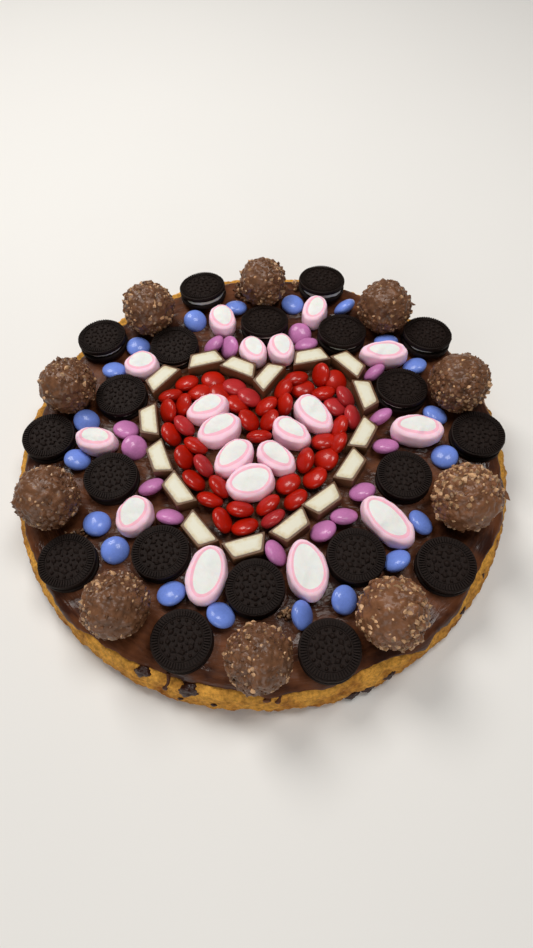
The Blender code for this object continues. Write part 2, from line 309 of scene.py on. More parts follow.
# Stamped rosette: distance of the studs from the middle, their number, and half their length and
# width, in millimetres
ROSETTE = (
    (0.0, 1, 1.6, 1.6), (3.4, 8, 0.8, 0.6), (5.9, 8, 1.3, 1.3), (5.9, 8, 0.5, 2.2), (8.6, 16, 0.9, 0.8),
)
STUD_HEIGHT = 0.95
# Cream: how far in from the wafers' edge it ends, and how far it reaches into each wafer
CREAM_INSET = 1.9 * MM
CREAM_OVERLAP = 0.15 * MM
# How far the cream lies off the middle in millimetres: usually, and where it squeezed out, after
# the way that it went in degrees
USUAL_SQUEEZE = 0.3
SQUEEZED_CREAM = {"outer_01": (-60, 1.3), "outer_10": (-75, 1.2), "inner_02": (-130, 1.4)}

# Bar slices: the thin wall on the narrow side, and the filling, which stands a little proud
THIN_WALL = 0.8 * MM
FILLING_DEPTH = 0.8 * MM
FILLING_RISE = 0.15 * MM
FILLING_CORNER = 1.3 * MM
MELTED_WIDTH = 0.25 * MM
# Shares of the filling's red, green and blue that are left where cocoa fat went into it
BUTTER_TINT = (0.8, 0.62, 0.36)
# The part of the filling that the shell doesn't tint, along and across the slice
PURE_FILLING = (0.62, 0.45)

# Marshmallows: how far the white middle of a cut lies towards the back, in millimetres
CUT_SHIFT = 0.8
# Share of the skin next to the white that the knife laid bare
CUT_SKIN = 0.26
MARSHMALLOW_SIDES = 32
# Each marshmallow's cut: how much it widens towards the end that its turn points at, and how much
# pink the knife left on one side, the left of that way where it is above nought
OUTER_CUTS = (
    (0.3, 0.25), (0.05, -0.3), (0.2, 0.4), (0.3, -0.35), (0.0, 0.3), (-0.25, 0.1), (-0.12, -0.25),
    (-0.32, 0.4), (-0.1, -0.2), (0.05, 0.35), (0.2, 0.35), (0.3, 0.35),
)
HEART_CUTS = (
    (0.3, -0.4), (0.35, -0.55), (0.25, -0.4), (0.12, 0.35), (0.3, 0.4), (0.35, 0.45), (0.35, 0.3),
)

# Spread: its surface, which leaves no gap under the toppings, and how fine its mesh is round it
# and from its lip to the middle
SPREAD_SURFACE = STAND + 0.05 * MM
SPREAD_SIDES = 480
SPREAD_RINGS = 98
# Width of its soft lip and radius of the innermost ring, in millimetres
LIP_WIDTH = 5
INNERMOST_RING = 1.5
# Small bends in its edge: their depth, and how many of them fit in a metre
RAGGED_BENDS = ((0.9 * MM, 160), (0.6 * MM, 330))
# How the spread's edge departs from a circle in front and at the sides: middle and half width in
# degrees, and how much farther out it reaches in millimetres
SPREAD_LOBES = (
    (-160, 14, 1.6), (-137, 13, 3.2), (-111, 10, -1.6), (-91, 4, 2.6), (-80, 6, 1.6), (-59, 4, 4.0),
    (-50, 7, 3.2), (-24, 11, 3.0), (20, 20, 0.8), (115, 48, -3.4), (170, 10, -1.4),
)
# Drips of spread: angle in degrees, how far down and how wide in millimetres
SPREAD_DRIPS = ((-112.2, 5.0, 2.6), (-91.8, 3.0, 4.0), (-89.6, 4.0, 3.0))
DRIP_BEADS = 12
# How close to a topping the spread starts to rise
CLING_REACH = 2.6 * MM

# Heaps of fallen nut crumbs: x, y, width, depth and height in millimetres, number of crumbs
CRUMB_HEAPS = (
    (-6, 114, 8, 15, 5, 46), (-2, 106, 5, 5, 3, 16), (29, 115, 4, 8, 4, 20), (7, -94, 9, 7, 3, 26),
    (-93, -46, 14, 5, 3, 26),
)
# Their least and largest width in millimetres, and the share of them that are bare nut
CRUMB_SIZES = (1.0, 2.6)
BARE_CRUMBS = 0.4
# Thin flakes of chocolate that stick out: x, y, z, length and width in millimetres, turn in degrees
FLAKES = ((93, 81, 35, 7, 3, -15), (123.4, -38.7, 18.6, 7.5, 4, -60), (-121.5, -31, 33, 7, 3, 190))
FLAKE_THICKNESS = 1.2 * MM
# How far the outer end of a flake tips down, in radians
FLAKE_TILT = 0.3

# Soft lights: place and width in metres, and colour. The one on top has a share of the key's power,
# and the room adds a little white light from all round.
KEY_LIGHT = ((-0.35, 0.5, 0.85), 0.45, (1.0, 0.98, 0.95))
TOP_LIGHT = ((0.25, 0.1, 0.95), 0.35, (1.0, 0.98, 0.96))
FILL_LIGHT = ((-0.25, -0.9, 0.45), 0.6, (1.0, 0.99, 0.97))
TOP_SHARE = 0.6
ROOM_LIGHT = 0.11
FLOOR_WIDTH = 6

# The camera: place in metres and how it looks, found from the sizes of the sweets
CAMERA_PLACE = (0, -172.5 * MM, 294.4 * MM)
CAMERA_DOWN_DEG = 60.71
CAMERA_RIGHT_DEG = 0.91
CAMERA_ROLL_DEG = -3.09
FOCAL_PIXELS = 600
IMAGE_HEIGHT = 948
SENSOR_MM = 36


def linear(hex_colour):
    """Linear red, green and blue of an sRGB hex colour."""
    channels = [int(hex_colour[i:i + 2], 16) / 255 for i in (1, 3, 5)]
    return tuple(c / 12.92 if c <= 0.04045 else ((c + 0.055) / 1.055) ** 2.4 for c in channels)


def colour_property(name, description, hex_colour):
    """A colour that shows as a swatch in the sidebar."""
    return bpy.props.FloatVectorProperty(
        name=name, description=description, default=linear(hex_colour), min=0, max=1, size=3,
        subtype="COLOR",
    )


def length_property(name, description, default):
    """A length that shows in the scene's units."""
    return bpy.props.FloatProperty(
        name=name, description=description, default=default, min=0, precision=4,
        subtype="DISTANCE", unit="LENGTH",
    )


class CrustSettings(bpy.types.PropertyGroup):
    """Sizes and colours of the baked cookie."""

    lumps: length_property("Lumps", "Depth of the broad lumps in the side", 2.0 * MM)
    crumb: length_property("Crumb", "Depth of the crumbs in the side", 1.5 * MM)
    golden: colour_property("Golden", "Crumb where it is palest", "#E0A244")
    browned: colour_property("Browned", "Crust where it baked longest", "#8E501A")
    chip: colour_property("Chips", "Chocolate chips in the dough", "#28110A")


class SpreadSettings(bpy.types.PropertyGroup):
    """Sizes and colours of the chocolate spread."""

    stroke: length_property("Strokes", "Depth of the palette knife's strokes", 0.55 * MM)
    cling: length_property("Cling", "How far the spread rises round a topping", 0.9 * MM)
    dark: colour_property("Dark", "Spread where it is thick", "#33170B")
    # the light colour is also the painted highlight along the ridges of the knife's lines
    light: colour_property("Light", "Spread where it is thin", "#6A3E25")


class PralineSettings(bpy.types.PropertyGroup):
    """Sizes and colours of the hazelnut pralines."""

    nut: length_property("Nut pieces", "Width of the largest pieces of chopped nut", 3.5 * MM)
    crags: length_property("Crags", "Depth of the bumps under the chocolate", 2.1 * MM)
    coat: colour_property("Milk chocolate", "Chocolate coat", "#6D4931")
    thin_coat: colour_property("Thin chocolate", "Coat of the palest pralines", "#7A5136")
    hazelnut: colour_property("Hazelnut", "Chopped roasted nut", "#BB9068")


class BiscuitSettings(bpy.types.PropertyGroup):
    """Sizes and colours of the sandwich biscuits."""

    stamp: length_property("Stamp", "Height of the stamped pattern", 0.8 * MM)
    wafer: colour_property("Wafer", "Cocoa wafer", "#1A0F0A")
    cream: colour_property("Cream", "Vanilla cream", "#CFC9BC")


class SliceSettings(bpy.types.PropertyGroup):
    """Sizes and colours of the filled bar slices."""

    wall: length_property("Wall", "Thickness of the chocolate round the filling", 1.15 * MM)
    shell: colour_property("Shell", "Milk chocolate shell", "#6A4A30")
    filling: colour_property("Filling", "Milk filling", "#E6E1CB")


class MarshmallowSettings(bpy.types.PropertyGroup):
    """Sizes and colours of the cut marshmallows."""

    skin: length_property("Skin", "Thickness of the pink part", 2.5 * MM)
    pink: colour_property("Pink", "Pink marshmallow", "#FCD2E1")
    cut_pink: colour_property("Cut pink", "Pink where the knife went through", "#F4B9CA")
    white: colour_property("White", "White middle", "#E9EAE6")


class SweetSettings(bpy.types.PropertyGroup):
    """Colours of the sugar-coated lens sweets."""

    red: colour_property("Orange red", "Most sweets in the heart", "#B01704")
    raspberry: colour_property("Raspberry", "The other sweets in the heart", "#B22A2C")
    blue: colour_property("Blue", "Sweets by the outer biscuits", "#718CDD")
    mauve: colour_property("Mauve", "Sweets round the heart", "#C178AE")


class StageSettings(bpy.types.PropertyGroup):
    """Floor and lights."""

    floor: colour_property("Floor", "Pale floor", "#E9E7E3")
    key_power: bpy.props.FloatProperty(
        name="Key light", description="Power of the soft light behind on the left", default=6.6,
        min=0, subtype="POWER", unit="POWER",
    )
    fill_power: bpy.props.FloatProperty(
        name="Fill light", description="Power of the soft light in front", default=3.0, min=0,
        subtype="POWER", unit="POWER",
    )


def deselect():
    """Leaves nothing selected."""
    bpy.ops.object.select_all(action="DESELECT")


def only(piece):
    """Makes this piece the only selected one, and the active one."""
    deselect()
    piece.select_set(True)
    bpy.context.view_layer.objects.active = piece


def edit(piece):
    """Opens the piece in edit mode with faces to select and all of them selected."""
    only(piece)
    bpy.ops.object.mode_set(mode="EDIT")
    bpy.ops.mesh.select_mode(type="FACE")
    bpy.ops.mesh.select_all(action="SELECT")


def leave_edit():
    """Goes back to object mode."""
    bpy.ops.object.mode_set(mode="OBJECT")


def pick_faces(piece, test):
    """In edit mode, selects the faces that pass the test, and nothing else."""
    shape = bmesh.from_edit_mesh(piece.data)
    shape.faces.ensure_lookup_table()
    for face in shape.faces:
        face.select_set(False)
    for face in shape.faces:
        if test(face):
            face.select_set(True)
    bmesh.update_edit_mesh(piece.data)


def pick_vertices(piece, test):
    """In edit mode, selects the vertices that pass the test, and nothing else."""
    bpy.ops.mesh.select_mode(type="VERT")
    shape = bmesh.from_edit_mesh(piece.data)
    for vertex in shape.verts:
        vertex.select_set(test(vertex.co))
    shape.select_flush_mode()
    bmesh.update_edit_mesh(piece.data)


def extrude_up(height):
    """Extrudes what is selected along Z."""
    bpy.ops.mesh.extrude_region_move(TRANSFORM_OT_translate={"value": (0, 0, height)})


def resize(x, y, z, centre=(0, 0, 0)):
    """Scales what is selected about a point."""
    bpy.ops.transform.resize(value=(x, y, z), center_override=centre)


def in_metres(outline):
    """An outline that is written in millimetres, in metres."""
    return [(x * MM, z * MM) for x, z in outline]


def turned(name, profile, sides):
    """A round solid: a filled circle, extruded and resized up through a profile of (radius, height)."""
    radius, height = profile[0]
    deselect()
    bpy.ops.mesh.primitive_circle_add(vertices=sides, radius=radius, fill_type="NGON")
    piece = bpy.context.object
    piece.name = name
    edit(piece)
    bpy.ops.transform.translate(value=(0, 0, height))
    for next_radius, next_height in profile[1:]:
        extrude_up(next_height - height)
        resize(next_radius / radius, next_radius / radius, 1)
        radius, height = next_radius, next_height
    bpy.ops.mesh.select_all(action="SELECT")
    bpy.ops.mesh.normals_make_consistent(inside=False)
    leave_edit()
    return piece


def flowing(outline, steps):
    """A profile with more points on a smooth curve through the given ones."""
    points = [Vector(point) for point in outline]
    points = [2 * points[0] - points[1], *points, 2 * points[-1] - points[-2]]
    fine = [tuple(points[1])]
    for before, start, end, after in zip(points, points[1:], points[2:], points[3:]):
        for step in range(1, steps + 1):
            t = step / steps
            pull = (end - before) / 2
            push = (after - start) / 2
            fine.append(tuple(
                start * (2 * t ** 3 - 3 * t ** 2 + 1) + pull * (t ** 3 - 2 * t ** 2 + t)
                + end * (3 * t ** 2 - 2 * t ** 3) + push * (t ** 3 - t ** 2)
            ))
    return fine


def apply_modifier(piece, kind, **settings):
    """Adds a modifier to the piece, sets it and applies it."""
    only(piece)
    modifier = piece.modifiers.new(kind.lower(), kind)
    for name, value in settings.items():
        setattr(modifier, name, value)
    bpy.ops.object.modifier_apply(modifier=modifier.name)


def relief(piece, kind, grain, depth, stretch=(1, 1, 1), turn_deg=0.0, along="NORMAL", group=""):
    """Moves the surface by a procedural texture whose grain is a length, drawn out by stretch."""
    guide = bpy.data.objects.new("relief_guide", None)
    bpy.context.collection.objects.link(guide)
    guide.scale = [grain * factor for factor in stretch]
    guide.rotation_euler.z = math.radians(turn_deg)
    bpy.context.view_layer.update()
    texture = bpy.data.textures.new(f"{piece.name}_relief", kind)
    texture.noise_scale = 1.0
    if kind == "CLOUDS":
        texture.noise_depth = 2
    apply_modifier(
        piece, "DISPLACE", texture=texture, texture_coords="OBJECT", texture_coords_object=guide,
        strength=depth, mid_level=0.5, direction=along, vertex_group=group,
    )
    bpy.data.objects.remove(guide)
    bpy.data.textures.remove(texture)


def weigh(piece, group, weight_at):
    """Gives every vertex its weight in a vertex group, from its place."""
    weights = piece.vertex_groups.new(name=group)
    for vertex in piece.data.vertices:
        weights.add([vertex.index], weight_at(vertex.co), "REPLACE")


def mark(piece, name, values):
    """Gives every vertex its value, for a material to read."""
    attribute = piece.data.attributes.new(name=name, type="FLOAT", domain="POINT")
    attribute.data.foreach_set("value", values)


def smooth_shading(piece, sharp_deg=50):
    """Rounded look, with edges sharper than this angle kept crisp."""
    only(piece)
    bpy.ops.object.shade_smooth_by_angle(angle=math.radians(sharp_deg))


def joined(parts, name):
    """Joins parts into the first one."""
    deselect()
    for part in parts:
        part.select_set(True)
    bpy.context.view_layer.objects.active = parts[0]
    bpy.ops.object.join()
    whole = bpy.context.object
    whole.name = name
    return whole


def copied(model, name, matrix):
    """A copy of a model with its own mesh, its place in the mesh."""
    copy = bpy.data.objects.new(name, model.data.copy())
    bpy.context.collection.objects.link(copy)
    copy.data.name = name
    copy.data.transform(matrix)
    return copy


def remove(piece):
    """Deletes a model that was only copied from."""
    bpy.data.objects.remove(piece)


def finished(piece, slot, *nodes):
    """Lets the piece ride and hides the CAD nodes that it stands for; slot is not used."""
    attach(piece, BODY)
    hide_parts(*nodes)
    return piece


def paint(piece, *materials):
    """Gives the piece its materials, which its faces pick by number."""
    for material in materials:
        piece.data.materials.append(material)


def paint_one(piece, index, *materials):
    """Gives a part the whole list of materials, and all its faces this one of them."""
    paint(piece, *materials)
    for face in piece.data.polygons:
        face.material_index = index


def new_material(name, roughness, sockets=None):
    """A Principled material; what is the same all over is set on the shader's own sockets."""
    material = bpy.data.materials.new(name)
    material.use_nodes = True
    shader = material.node_tree.nodes["Principled BSDF"]
    shader.inputs["Roughness"].default_value = roughness
    for socket, value in (sockets or {}).items():
        shader.inputs[socket].default_value = value
    return material


def add_node(material, kind, inputs=None, **settings):
    """Adds a shader node; inputs maps a socket's name or number to a value or an output."""
    node = material.node_tree.nodes.new("ShaderNode" + kind)
    for name, value in settings.items():
        setattr(node, name, value)
    for socket, value in (inputs or {}).items():
        if isinstance(value, bpy.types.NodeSocket):
            material.node_tree.links.new(value, node.inputs[socket])
        else:
            node.inputs[socket].default_value = value
    return node


def shade(material, sockets):
    """Links outputs to the sockets of the material's shader."""
    shader = material.node_tree.nodes["Principled BSDF"]
    for socket, source in sockets.items():
        material.node_tree.links.new(source, shader.inputs[socket])


def tone(colour, factor=1.0):
    """A colour for a shader socket, made darker or lighter by a factor."""
    return (*(min(1.0, factor * channel) for channel in colour), 1)


def baked_dough(look):
    """Baked cookie dough: dry crumb, paler gold towards the shoulder and browner towards the foot, with
    painted shade in the crumbs' hollows and painted highlights on their tops.
    """
    material = new_material("baked_cookie_dough", 0.8, {"Specular IOR Level": 0.2})
    place = add_node(material, "TexCoord").outputs["Object"]
    height = add_node(material, "SeparateXYZ", {0: place}).outputs["Z"]
    # browner towards the foot and paler towards the shoulder
    low = add_node(
        material, "MapRange",
        {"Value": height, "From Min": 1 * MM, "From Max": 15 * MM, "To Min": 0.62, "To Max": -0.1},
    ).outputs["Result"]
    patches = add_node(
        material, "TexNoise", {"Vector": place, "Scale": 1 / (11 * MM), "Detail": 5, "Roughness": 0.6}
    ).outputs["Fac"]
    patchy = add_node(
        material, "MapRange",
        {"Value": patches, "From Min": 0.4, "From Max": 0.7, "To Min": -0.15, "To Max": 0.8},
    ).outputs["Result"]
    toasted = add_node(material, "Math", {0: low, 1: patchy}, operation="ADD", use_clamp=True)
    colour = add_node(
        material, "Mix", {0: toasted.outputs[0], 6: tone(look.golden), 7: tone(look.browned)},
        data_type="RGBA",
    ).outputs[2]
    crumbs = add_node(
        material, "TexNoise", {"Vector": place, "Scale": 1 / (2.2 * MM), "Detail": 5, "Roughness": 0.7}
    ).outputs["Fac"]
    # the crumbs' colour follows their bump: darker in the hollows as painted shade, lighter on the tops
    # as a painted highlight
    grain = add_node(
        material, "MapRange",
        {"Value": crumbs, "From Min": 0.36, "From Max": 0.62, "To Min": 0.55, "To Max": 1.12},
    ).outputs["Result"]
    shaded = add_node(
        material, "Mix", {0: 1.0, 6: colour, 7: grain}, data_type="RGBA", blend_type="MULTIPLY"
    ).outputs[2]
    bump = add_node(
        material, "Bump", {"Height": crumbs, "Distance": 0.8 * MM, "Strength": 0.6}
    ).outputs["Normal"]
    shade(material, {"Base Color": shaded, "Normal": bump})
    return material


def melted_chip(look):
    """Dark chocolate chip that melted and set in the oven, with a broken shine."""
    material = new_material(
        "dark_chocolate_chip", 0.45,
        {"Specular IOR Level": 0.2, "Coat Weight": 0.25, "Coat Roughness": 0.15},
    )
    place = add_node(material, "TexCoord").outputs["Object"]
    mottle = add_node(
        material, "TexNoise", {"Vector": place, "Scale": 1 / (1.2 * MM), "Detail": 3}
    ).outputs["Fac"]
    colour = add_node(
        material, "Mix", {0: mottle, 6: tone(look.chip), 7: tone(look.chip, 1.9)}, data_type="RGBA"
    ).outputs[2]
    bump = add_node(
        material, "Bump", {"Height": mottle, "Distance": 0.4 * MM, "Strength": 0.8}
    ).outputs["Normal"]
    shade(material, {"Base Color": colour, "Normal": bump, "Coat Normal": bump})
    return material


def chocolate_spread(look):
    """Cocoa and nut spread: satin, oily in its pools, with the fine lines that the knife left and a
    painted highlight along their ridges.
    """
    material = new_material(
        "cocoa_nut_spread", 0.45, {"IOR": 1.46, "Specular IOR Level": 0.12, "Coat Roughness": 0.1}
    )
    place = add_node(material, "TexCoord").outputs["Object"]
    axes = add_node(material, "SeparateXYZ", {0: place})
    out = add_node(material, "VectorMath", {0: place}, operation="LENGTH").outputs["Value"]
    from_back = add_node(material, "Math", {0: axes.outputs["Y"], 1: -1.0}, operation="MULTIPLY")
    angle = add_node(
        material, "Math", {0: axes.outputs["X"], 1: from_back.outputs[0]}, operation="ARCTAN2"
    ).outputs[0]
    # one unit is 2 mm across the rounds of the knife and about 12 mm along them
    across = add_node(material, "Math", {0: out, 1: 1 / (2 * MM)}, operation="MULTIPLY").outputs[0]
    along = add_node(material, "Math", {0: angle, 1: 10.0}, operation="MULTIPLY").outputs[0]
    rounds = add_node(material, "CombineXYZ", {"X": across, "Y": along}).outputs["Vector"]
    round_lines = add_node(
        material, "TexNoise", {"Vector": rounds, "Scale": 1.0, "Detail": 3, "Distortion": 0.6}
    ).outputs["Fac"]
    drawn = add_node(
        material, "Mapping",
        {"Vector": place, "Rotation": (0, 0, math.radians(25)), "Scale": (0.3, 1, 1)},
    ).outputs["Vector"]
    straight_lines = add_node(
        material, "TexNoise",
        {"Vector": drawn, "Scale": 1 / (2.4 * MM), "Detail": 3, "Distortion": 1.0},
    ).outputs["Fac"]
    pools = add_node(
        material, "TexNoise", {"Vector": place, "Scale": 1 / (13 * MM), "Detail": 3}
    ).outputs["Fac"]
    by_the_rim = add_node(
        material, "MapRange", {"Value": out, "From Min": 95 * MM, "From Max": 112 * MM}
    ).outputs["Result"]
    lines = add_node(
        material, "Mix", {0: by_the_rim, 2: straight_lines, 3: round_lines}, data_type="FLOAT"
    ).outputs[0]
    uneven = add_node(
        material, "Mix", {0: 0.28, 2: pools, 3: lines}, data_type="FLOAT"
    ).outputs[0]
    # higher where the spread is thin, and along the ridges of the knife's lines, where it paints a
    # highlight
    thin = add_node(
        material, "MapRange", {"Value": uneven, "From Min": 0.38, "From Max": 0.64}
    ).outputs["Result"]
    colour = add_node(
        material, "Mix", {0: thin, 6: tone(look.dark), 7: tone(look.light)}, data_type="RGBA"
    ).outputs[2]
    oily = add_node(
        material, "MapRange",
        {"Value": pools, "From Min": 0.38, "From Max": 0.55, "To Min": 0.32, "To Max": 0.02},
    ).outputs["Result"]
    bump = add_node(
        material, "Bump", {"Height": lines, "Distance": 0.9 * MM, "Strength": 0.65}
    ).outputs["Normal"]
    shade(
        material, {"Base Color": colour, "Coat Weight": oily, "Coat Normal": bump, "Normal": bump}
    )
    return material


def milk_chocolate_coat(name, coat):
    """Milk chocolate enrobing: satin, paler where it ran thin over a nut, with painted shade that
    darkens it deep between the crags.
    """
    material = new_material(name, 0.35, {"IOR": 1.46, "Specular IOR Level": 0.4})
    place = add_node(material, "TexCoord").outputs["Object"]
    clouds = add_node(
        material, "TexNoise", {"Vector": place, "Scale": 1 / (5 * MM), "Detail": 4}
    ).outputs["Fac"]
    thin = add_node(
        material, "MapRange", {"Value": clouds, "From Min": 0.35, "From Max": 0.7}
    ).outputs["Result"]
    colour = add_node(
        material, "Mix", {0: thin, 6: tone(coat, 0.8), 7: tone(coat, 1.22)}, data_type="RGBA"
    ).outputs[2]
    # how deep a point lies between the crags: painted shade darkens the coat there
    hollow = add_node(material, "Attribute", attribute_name=HOLLOW).outputs["Fac"]
    coat_with_painted_shade = add_node(
        material, "Mix", {0: hollow, 6: colour, 7: tone(coat, 0.3)}, data_type="RGBA"
    ).outputs[2]
    fine = add_node(
        material, "TexNoise", {"Vector": place, "Scale": 1 / (0.9 * MM), "Detail": 3}
    ).outputs["Fac"]
    bump = add_node(
        material, "Bump", {"Height": fine, "Distance": 0.25 * MM, "Strength": 0.5}
    ).outputs["Normal"]
    shade(material, {"Base Color": coat_with_painted_shade, "Normal": bump})
    return material


def roasted_hazelnut(look):
    """Chopped roasted hazelnut: dry pale flesh, with some pieces toasted darker."""
    material = new_material("roasted_hazelnut", 0.45, {"Subsurface Weight": 0.05})
    place = add_node(material, "TexCoord").outputs["Object"]
    toasting = add_node(
        material, "TexNoise", {"Vector": place, "Scale": 1 / (3 * MM), "Detail": 2}
    ).outputs["Fac"]
    dark = add_node(
        material, "MapRange", {"Value": toasting, "From Min": 0.35, "From Max": 0.65}
    ).outputs["Result"]
    colour = add_node(
        material, "Mix", {0: dark, 6: tone(look.hazelnut, 1.35), 7: tone(look.hazelnut, 0.45)},
        data_type="RGBA",
    ).outputs[2]
    shade(material, {"Base Color": colour})
    return material


def cocoa_wafer(look):
    """Dark cocoa wafer: matt and finely pitted, a shade browner on its crumbs."""
    material = new_material("dark_cocoa_wafer", 0.62, {"Specular IOR Level": 0.15})
    place = add_node(material, "TexCoord").outputs["Object"]
    pits = add_node(
        material, "TexNoise",
        {"Vector": place, "Scale": 1 / (0.9 * MM), "Detail": 5, "Roughness": 0.7},
    ).outputs["Fac"]
    crumb = add_node(
        material, "MapRange", {"Value": pits, "From Min": 0.4, "From Max": 0.75}
    ).outputs["Result"]
    colour = add_node(
        material, "Mix", {0: crumb, 6: tone(look.wafer, 0.7), 7: tone(look.wafer, 1.7)},
        data_type="RGBA",
    ).outputs[2]
    bump = add_node(
        material, "Bump", {"Height": pits, "Distance": 0.35 * MM, "Strength": 0.8}
    ).outputs["Normal"]
    shade(material, {"Base Color": colour, "Normal": bump})
    return material


def vanilla_cream(look):
    """Vanilla biscuit cream: pressed sugar and fat, matt with a faint grain."""
    material = new_material("vanilla_cream", 0.6, {"Subsurface Weight": 0.1})
    place = add_node(material, "TexCoord").outputs["Object"]
    grain = add_node(
        material, "TexNoise", {"Vector": place, "Scale": 1 / (0.8 * MM), "Detail": 3}
    ).outputs["Fac"]
    colour = add_node(
        material, "Mix", {0: grain, 6: tone(look.cream, 0.85), 7: tone(look.cream)},
        data_type="RGBA",
    ).outputs[2]
    bump = add_node(
        material, "Bump", {"Height": grain, "Distance": 0.2 * MM, "Strength": 0.5}
    ).outputs["Normal"]
    shade(material, {"Base Color": colour, "Normal": bump})
    return material


def bar_shell(look):
    """Milk chocolate bar shell: moulded outside, dull where the knife cut it."""
    material = new_material("milk_chocolate_shell", 0.48, {"IOR": 1.46})
    place = add_node(material, "TexCoord").outputs["Object"]
    drag = add_node(
        material, "TexNoise",
        {"Vector": place, "Scale": 1 / (1.5 * MM), "Detail": 4, "Distortion": 0.6},
    ).outputs["Fac"]
    colour = add_node(
        material, "Mix", {0: drag, 6: tone(look.shell, 0.7), 7: tone(look.shell, 1.25)},
        data_type="RGBA",
    ).outputs[2]
    bump = add_node(
        material, "Bump", {"Height": drag, "Distance": 0.25 * MM, "Strength": 0.5}
    ).outputs["Normal"]
    shade(material, {"Base Color": colour, "Normal": bump})
    return material


def milk_filling(look):
    """Milk cream filling: soft and pale, with a buttery tint where cocoa fat went into it."""
    material = new_material("milk_cream_filling", 0.55, {"Subsurface Weight": 0.1})
    place = add_node(material, "TexCoord").outputs["Object"]
    torn = add_node(
        material, "TexNoise", {"Vector": place, "Scale": 1 / (1.8 * MM), "Detail": 4}
    ).outputs["Fac"]
    by_the_shell = add_node(material, "Attribute", attribute_name=NEAR_SHELL).outputs["Fac"]
    blotchy = add_node(
        material, "MapRange",
        {"Value": torn, "From Min": 0.4, "From Max": 0.7, "To Min": 0.35, "To Max": 1.0},
    ).outputs["Result"]
    butter = [share * channel for share, channel in zip(BUTTER_TINT, look.filling)]
    soaked = add_node(material, "Math", {0: by_the_shell, 1: blotchy}, operation="MULTIPLY")
    buttery = add_node(
        material, "Math", {0: soaked.outputs[0], 1: 0.04}, operation="ADD", use_clamp=True
    ).outputs[0]
    colour = add_node(
        material, "Mix", {0: buttery, 6: tone(look.filling), 7: tone(butter)}, data_type="RGBA"
    ).outputs[2]
    bump = add_node(
        material, "Bump", {"Height": torn, "Distance": 0.25 * MM, "Strength": 0.6}
    ).outputs["Normal"]
    shade(material, {"Base Color": colour, "Normal": bump})
    return material


def melted_edge(look):
    """Thin line where filling and shell ran into each other: caramel between the two."""
    material = new_material("filling_meets_shell", 0.55)
    place = add_node(material, "TexCoord").outputs["Object"]
    swirl = add_node(
        material, "TexNoise", {"Vector": place, "Scale": 1 / (1.4 * MM), "Detail": 3}
    ).outputs["Fac"]
    caramel = [0.55 * f + 0.45 * s for f, s in zip(look.filling, look.shell)]
    colour = add_node(
        material, "Mix", {0: swirl, 6: tone(caramel, 0.75), 7: tone(caramel, 1.1)}, data_type="RGBA"
    ).outputs[2]
    shade(material, {"Base Color": colour})
    return material


def soft_marshmallow(name, colour, grain_depth):
    """Marshmallow foam dusted with starch: soft, matt and faintly porous, so light soaks in."""
    material = new_material(
        name, 0.8, {"Subsurface Weight": 0.25, "Subsurface Scale": 2 * MM, "Specular IOR Level": 0.3}
    )
    place = add_node(material, "TexCoord").outputs["Object"]
    clouds = add_node(
        material, "TexNoise", {"Vector": place, "Scale": 1 / (6 * MM), "Detail": 3}
    ).outputs["Fac"]
    tint = add_node(
        material, "Mix", {0: clouds, 6: tone(colour, 0.9), 7: tone(colour, 1.06)}, data_type="RGBA"
    ).outputs[2]
    pores = add_node(
        material, "TexNoise", {"Vector": place, "Scale": 1 / (0.7 * MM), "Detail": 3}
    ).outputs["Fac"]
    bump = add_node(
        material, "Bump", {"Height": pores, "Distance": grain_depth, "Strength": 0.5}
    ).outputs["Normal"]
    shade(material, {"Base Color": tint, "Normal": bump})
    return material


def sugar_shell(name, colour):
    """Polished sugar shell of a lens sweet: smooth wax shine over slightly uneven colour."""
    material = new_material(
        name, 0.36, {"Specular IOR Level": 0.22, "Coat Weight": 0.35, "Coat Roughness": 0.07}
    )
    place = add_node(material, "TexCoord").outputs["Object"]
    batch = add_node(
        material, "TexNoise", {"Vector": place, "Scale": 1 / (11 * MM), "Detail": 1}
    ).outputs["Fac"]
    speckle = add_node(
        material, "TexNoise", {"Vector": place, "Scale": 1 / (1.0 * MM), "Detail": 4}
    ).outputs["Fac"]
    both = add_node(
        material, "Mix", {0: 0.35, 2: batch, 3: speckle}, data_type="FLOAT"
    ).outputs[0]
    spread = add_node(
        material, "MapRange", {"Value": both, "From Min": 0.35, "From Max": 0.65}
    ).outputs["Result"]
    tint = add_node(
        material, "Mix", {0: spread, 6: tone(colour, 0.82), 7: tone(colour, 1.12)}, data_type="RGBA"
    ).outputs[2]
    bump = add_node(
        material, "Bump", {"Height": speckle, "Distance": 0.08 * MM, "Strength": 0.4}
    ).outputs["Normal"]
    shade(material, {"Base Color": tint, "Normal": bump})
    return material


def pale_floor(look):
    """Pale matt card with a barely visible cloudiness."""
    material = new_material("pale_matt_card", 0.9)
    place = add_node(material, "TexCoord").outputs["Object"]
    clouds = add_node(material, "TexNoise", {"Vector": place, "Scale": 6.0, "Detail": 2}).outputs["Fac"]
    colour = add_node(
        material, "Mix", {0: clouds, 6: tone(look.floor), 7: tone(look.floor, 0.97)},
        data_type="RGBA",
    ).outputs[2]
    shade(material, {"Base Color": colour})
    return material


def leaning(facing_deg, lean_deg):
    """Matrix that leans a piece's top towards facing_deg."""
    facing = math.radians(facing_deg)
    axis = Vector((-math.sin(facing), math.cos(facing), 0))
    return Matrix.Rotation(math.radians(lean_deg), 4, axis)


def ring_place(ring, index):
    """Place of one piece of a ring, in metres."""
    angle = math.radians(ring["first"] + RING_STEP_DEG * index)
    nudge_x, nudge_y = ring["nudges"][index]
    x = ring["centre"][0] + ring["radius"] * math.cos(angle) + nudge_x
    y = ring["centre"][1] + ring["radius"] * math.sin(angle) + nudge_y
    return Vector((x, y, 0)) * MM


def on_rim(angle_deg, radius, height):
    """Point at this angle, radius and height."""
    angle = math.radians(angle_deg)
    return Vector((radius * math.cos(angle), radius * math.sin(angle), height))


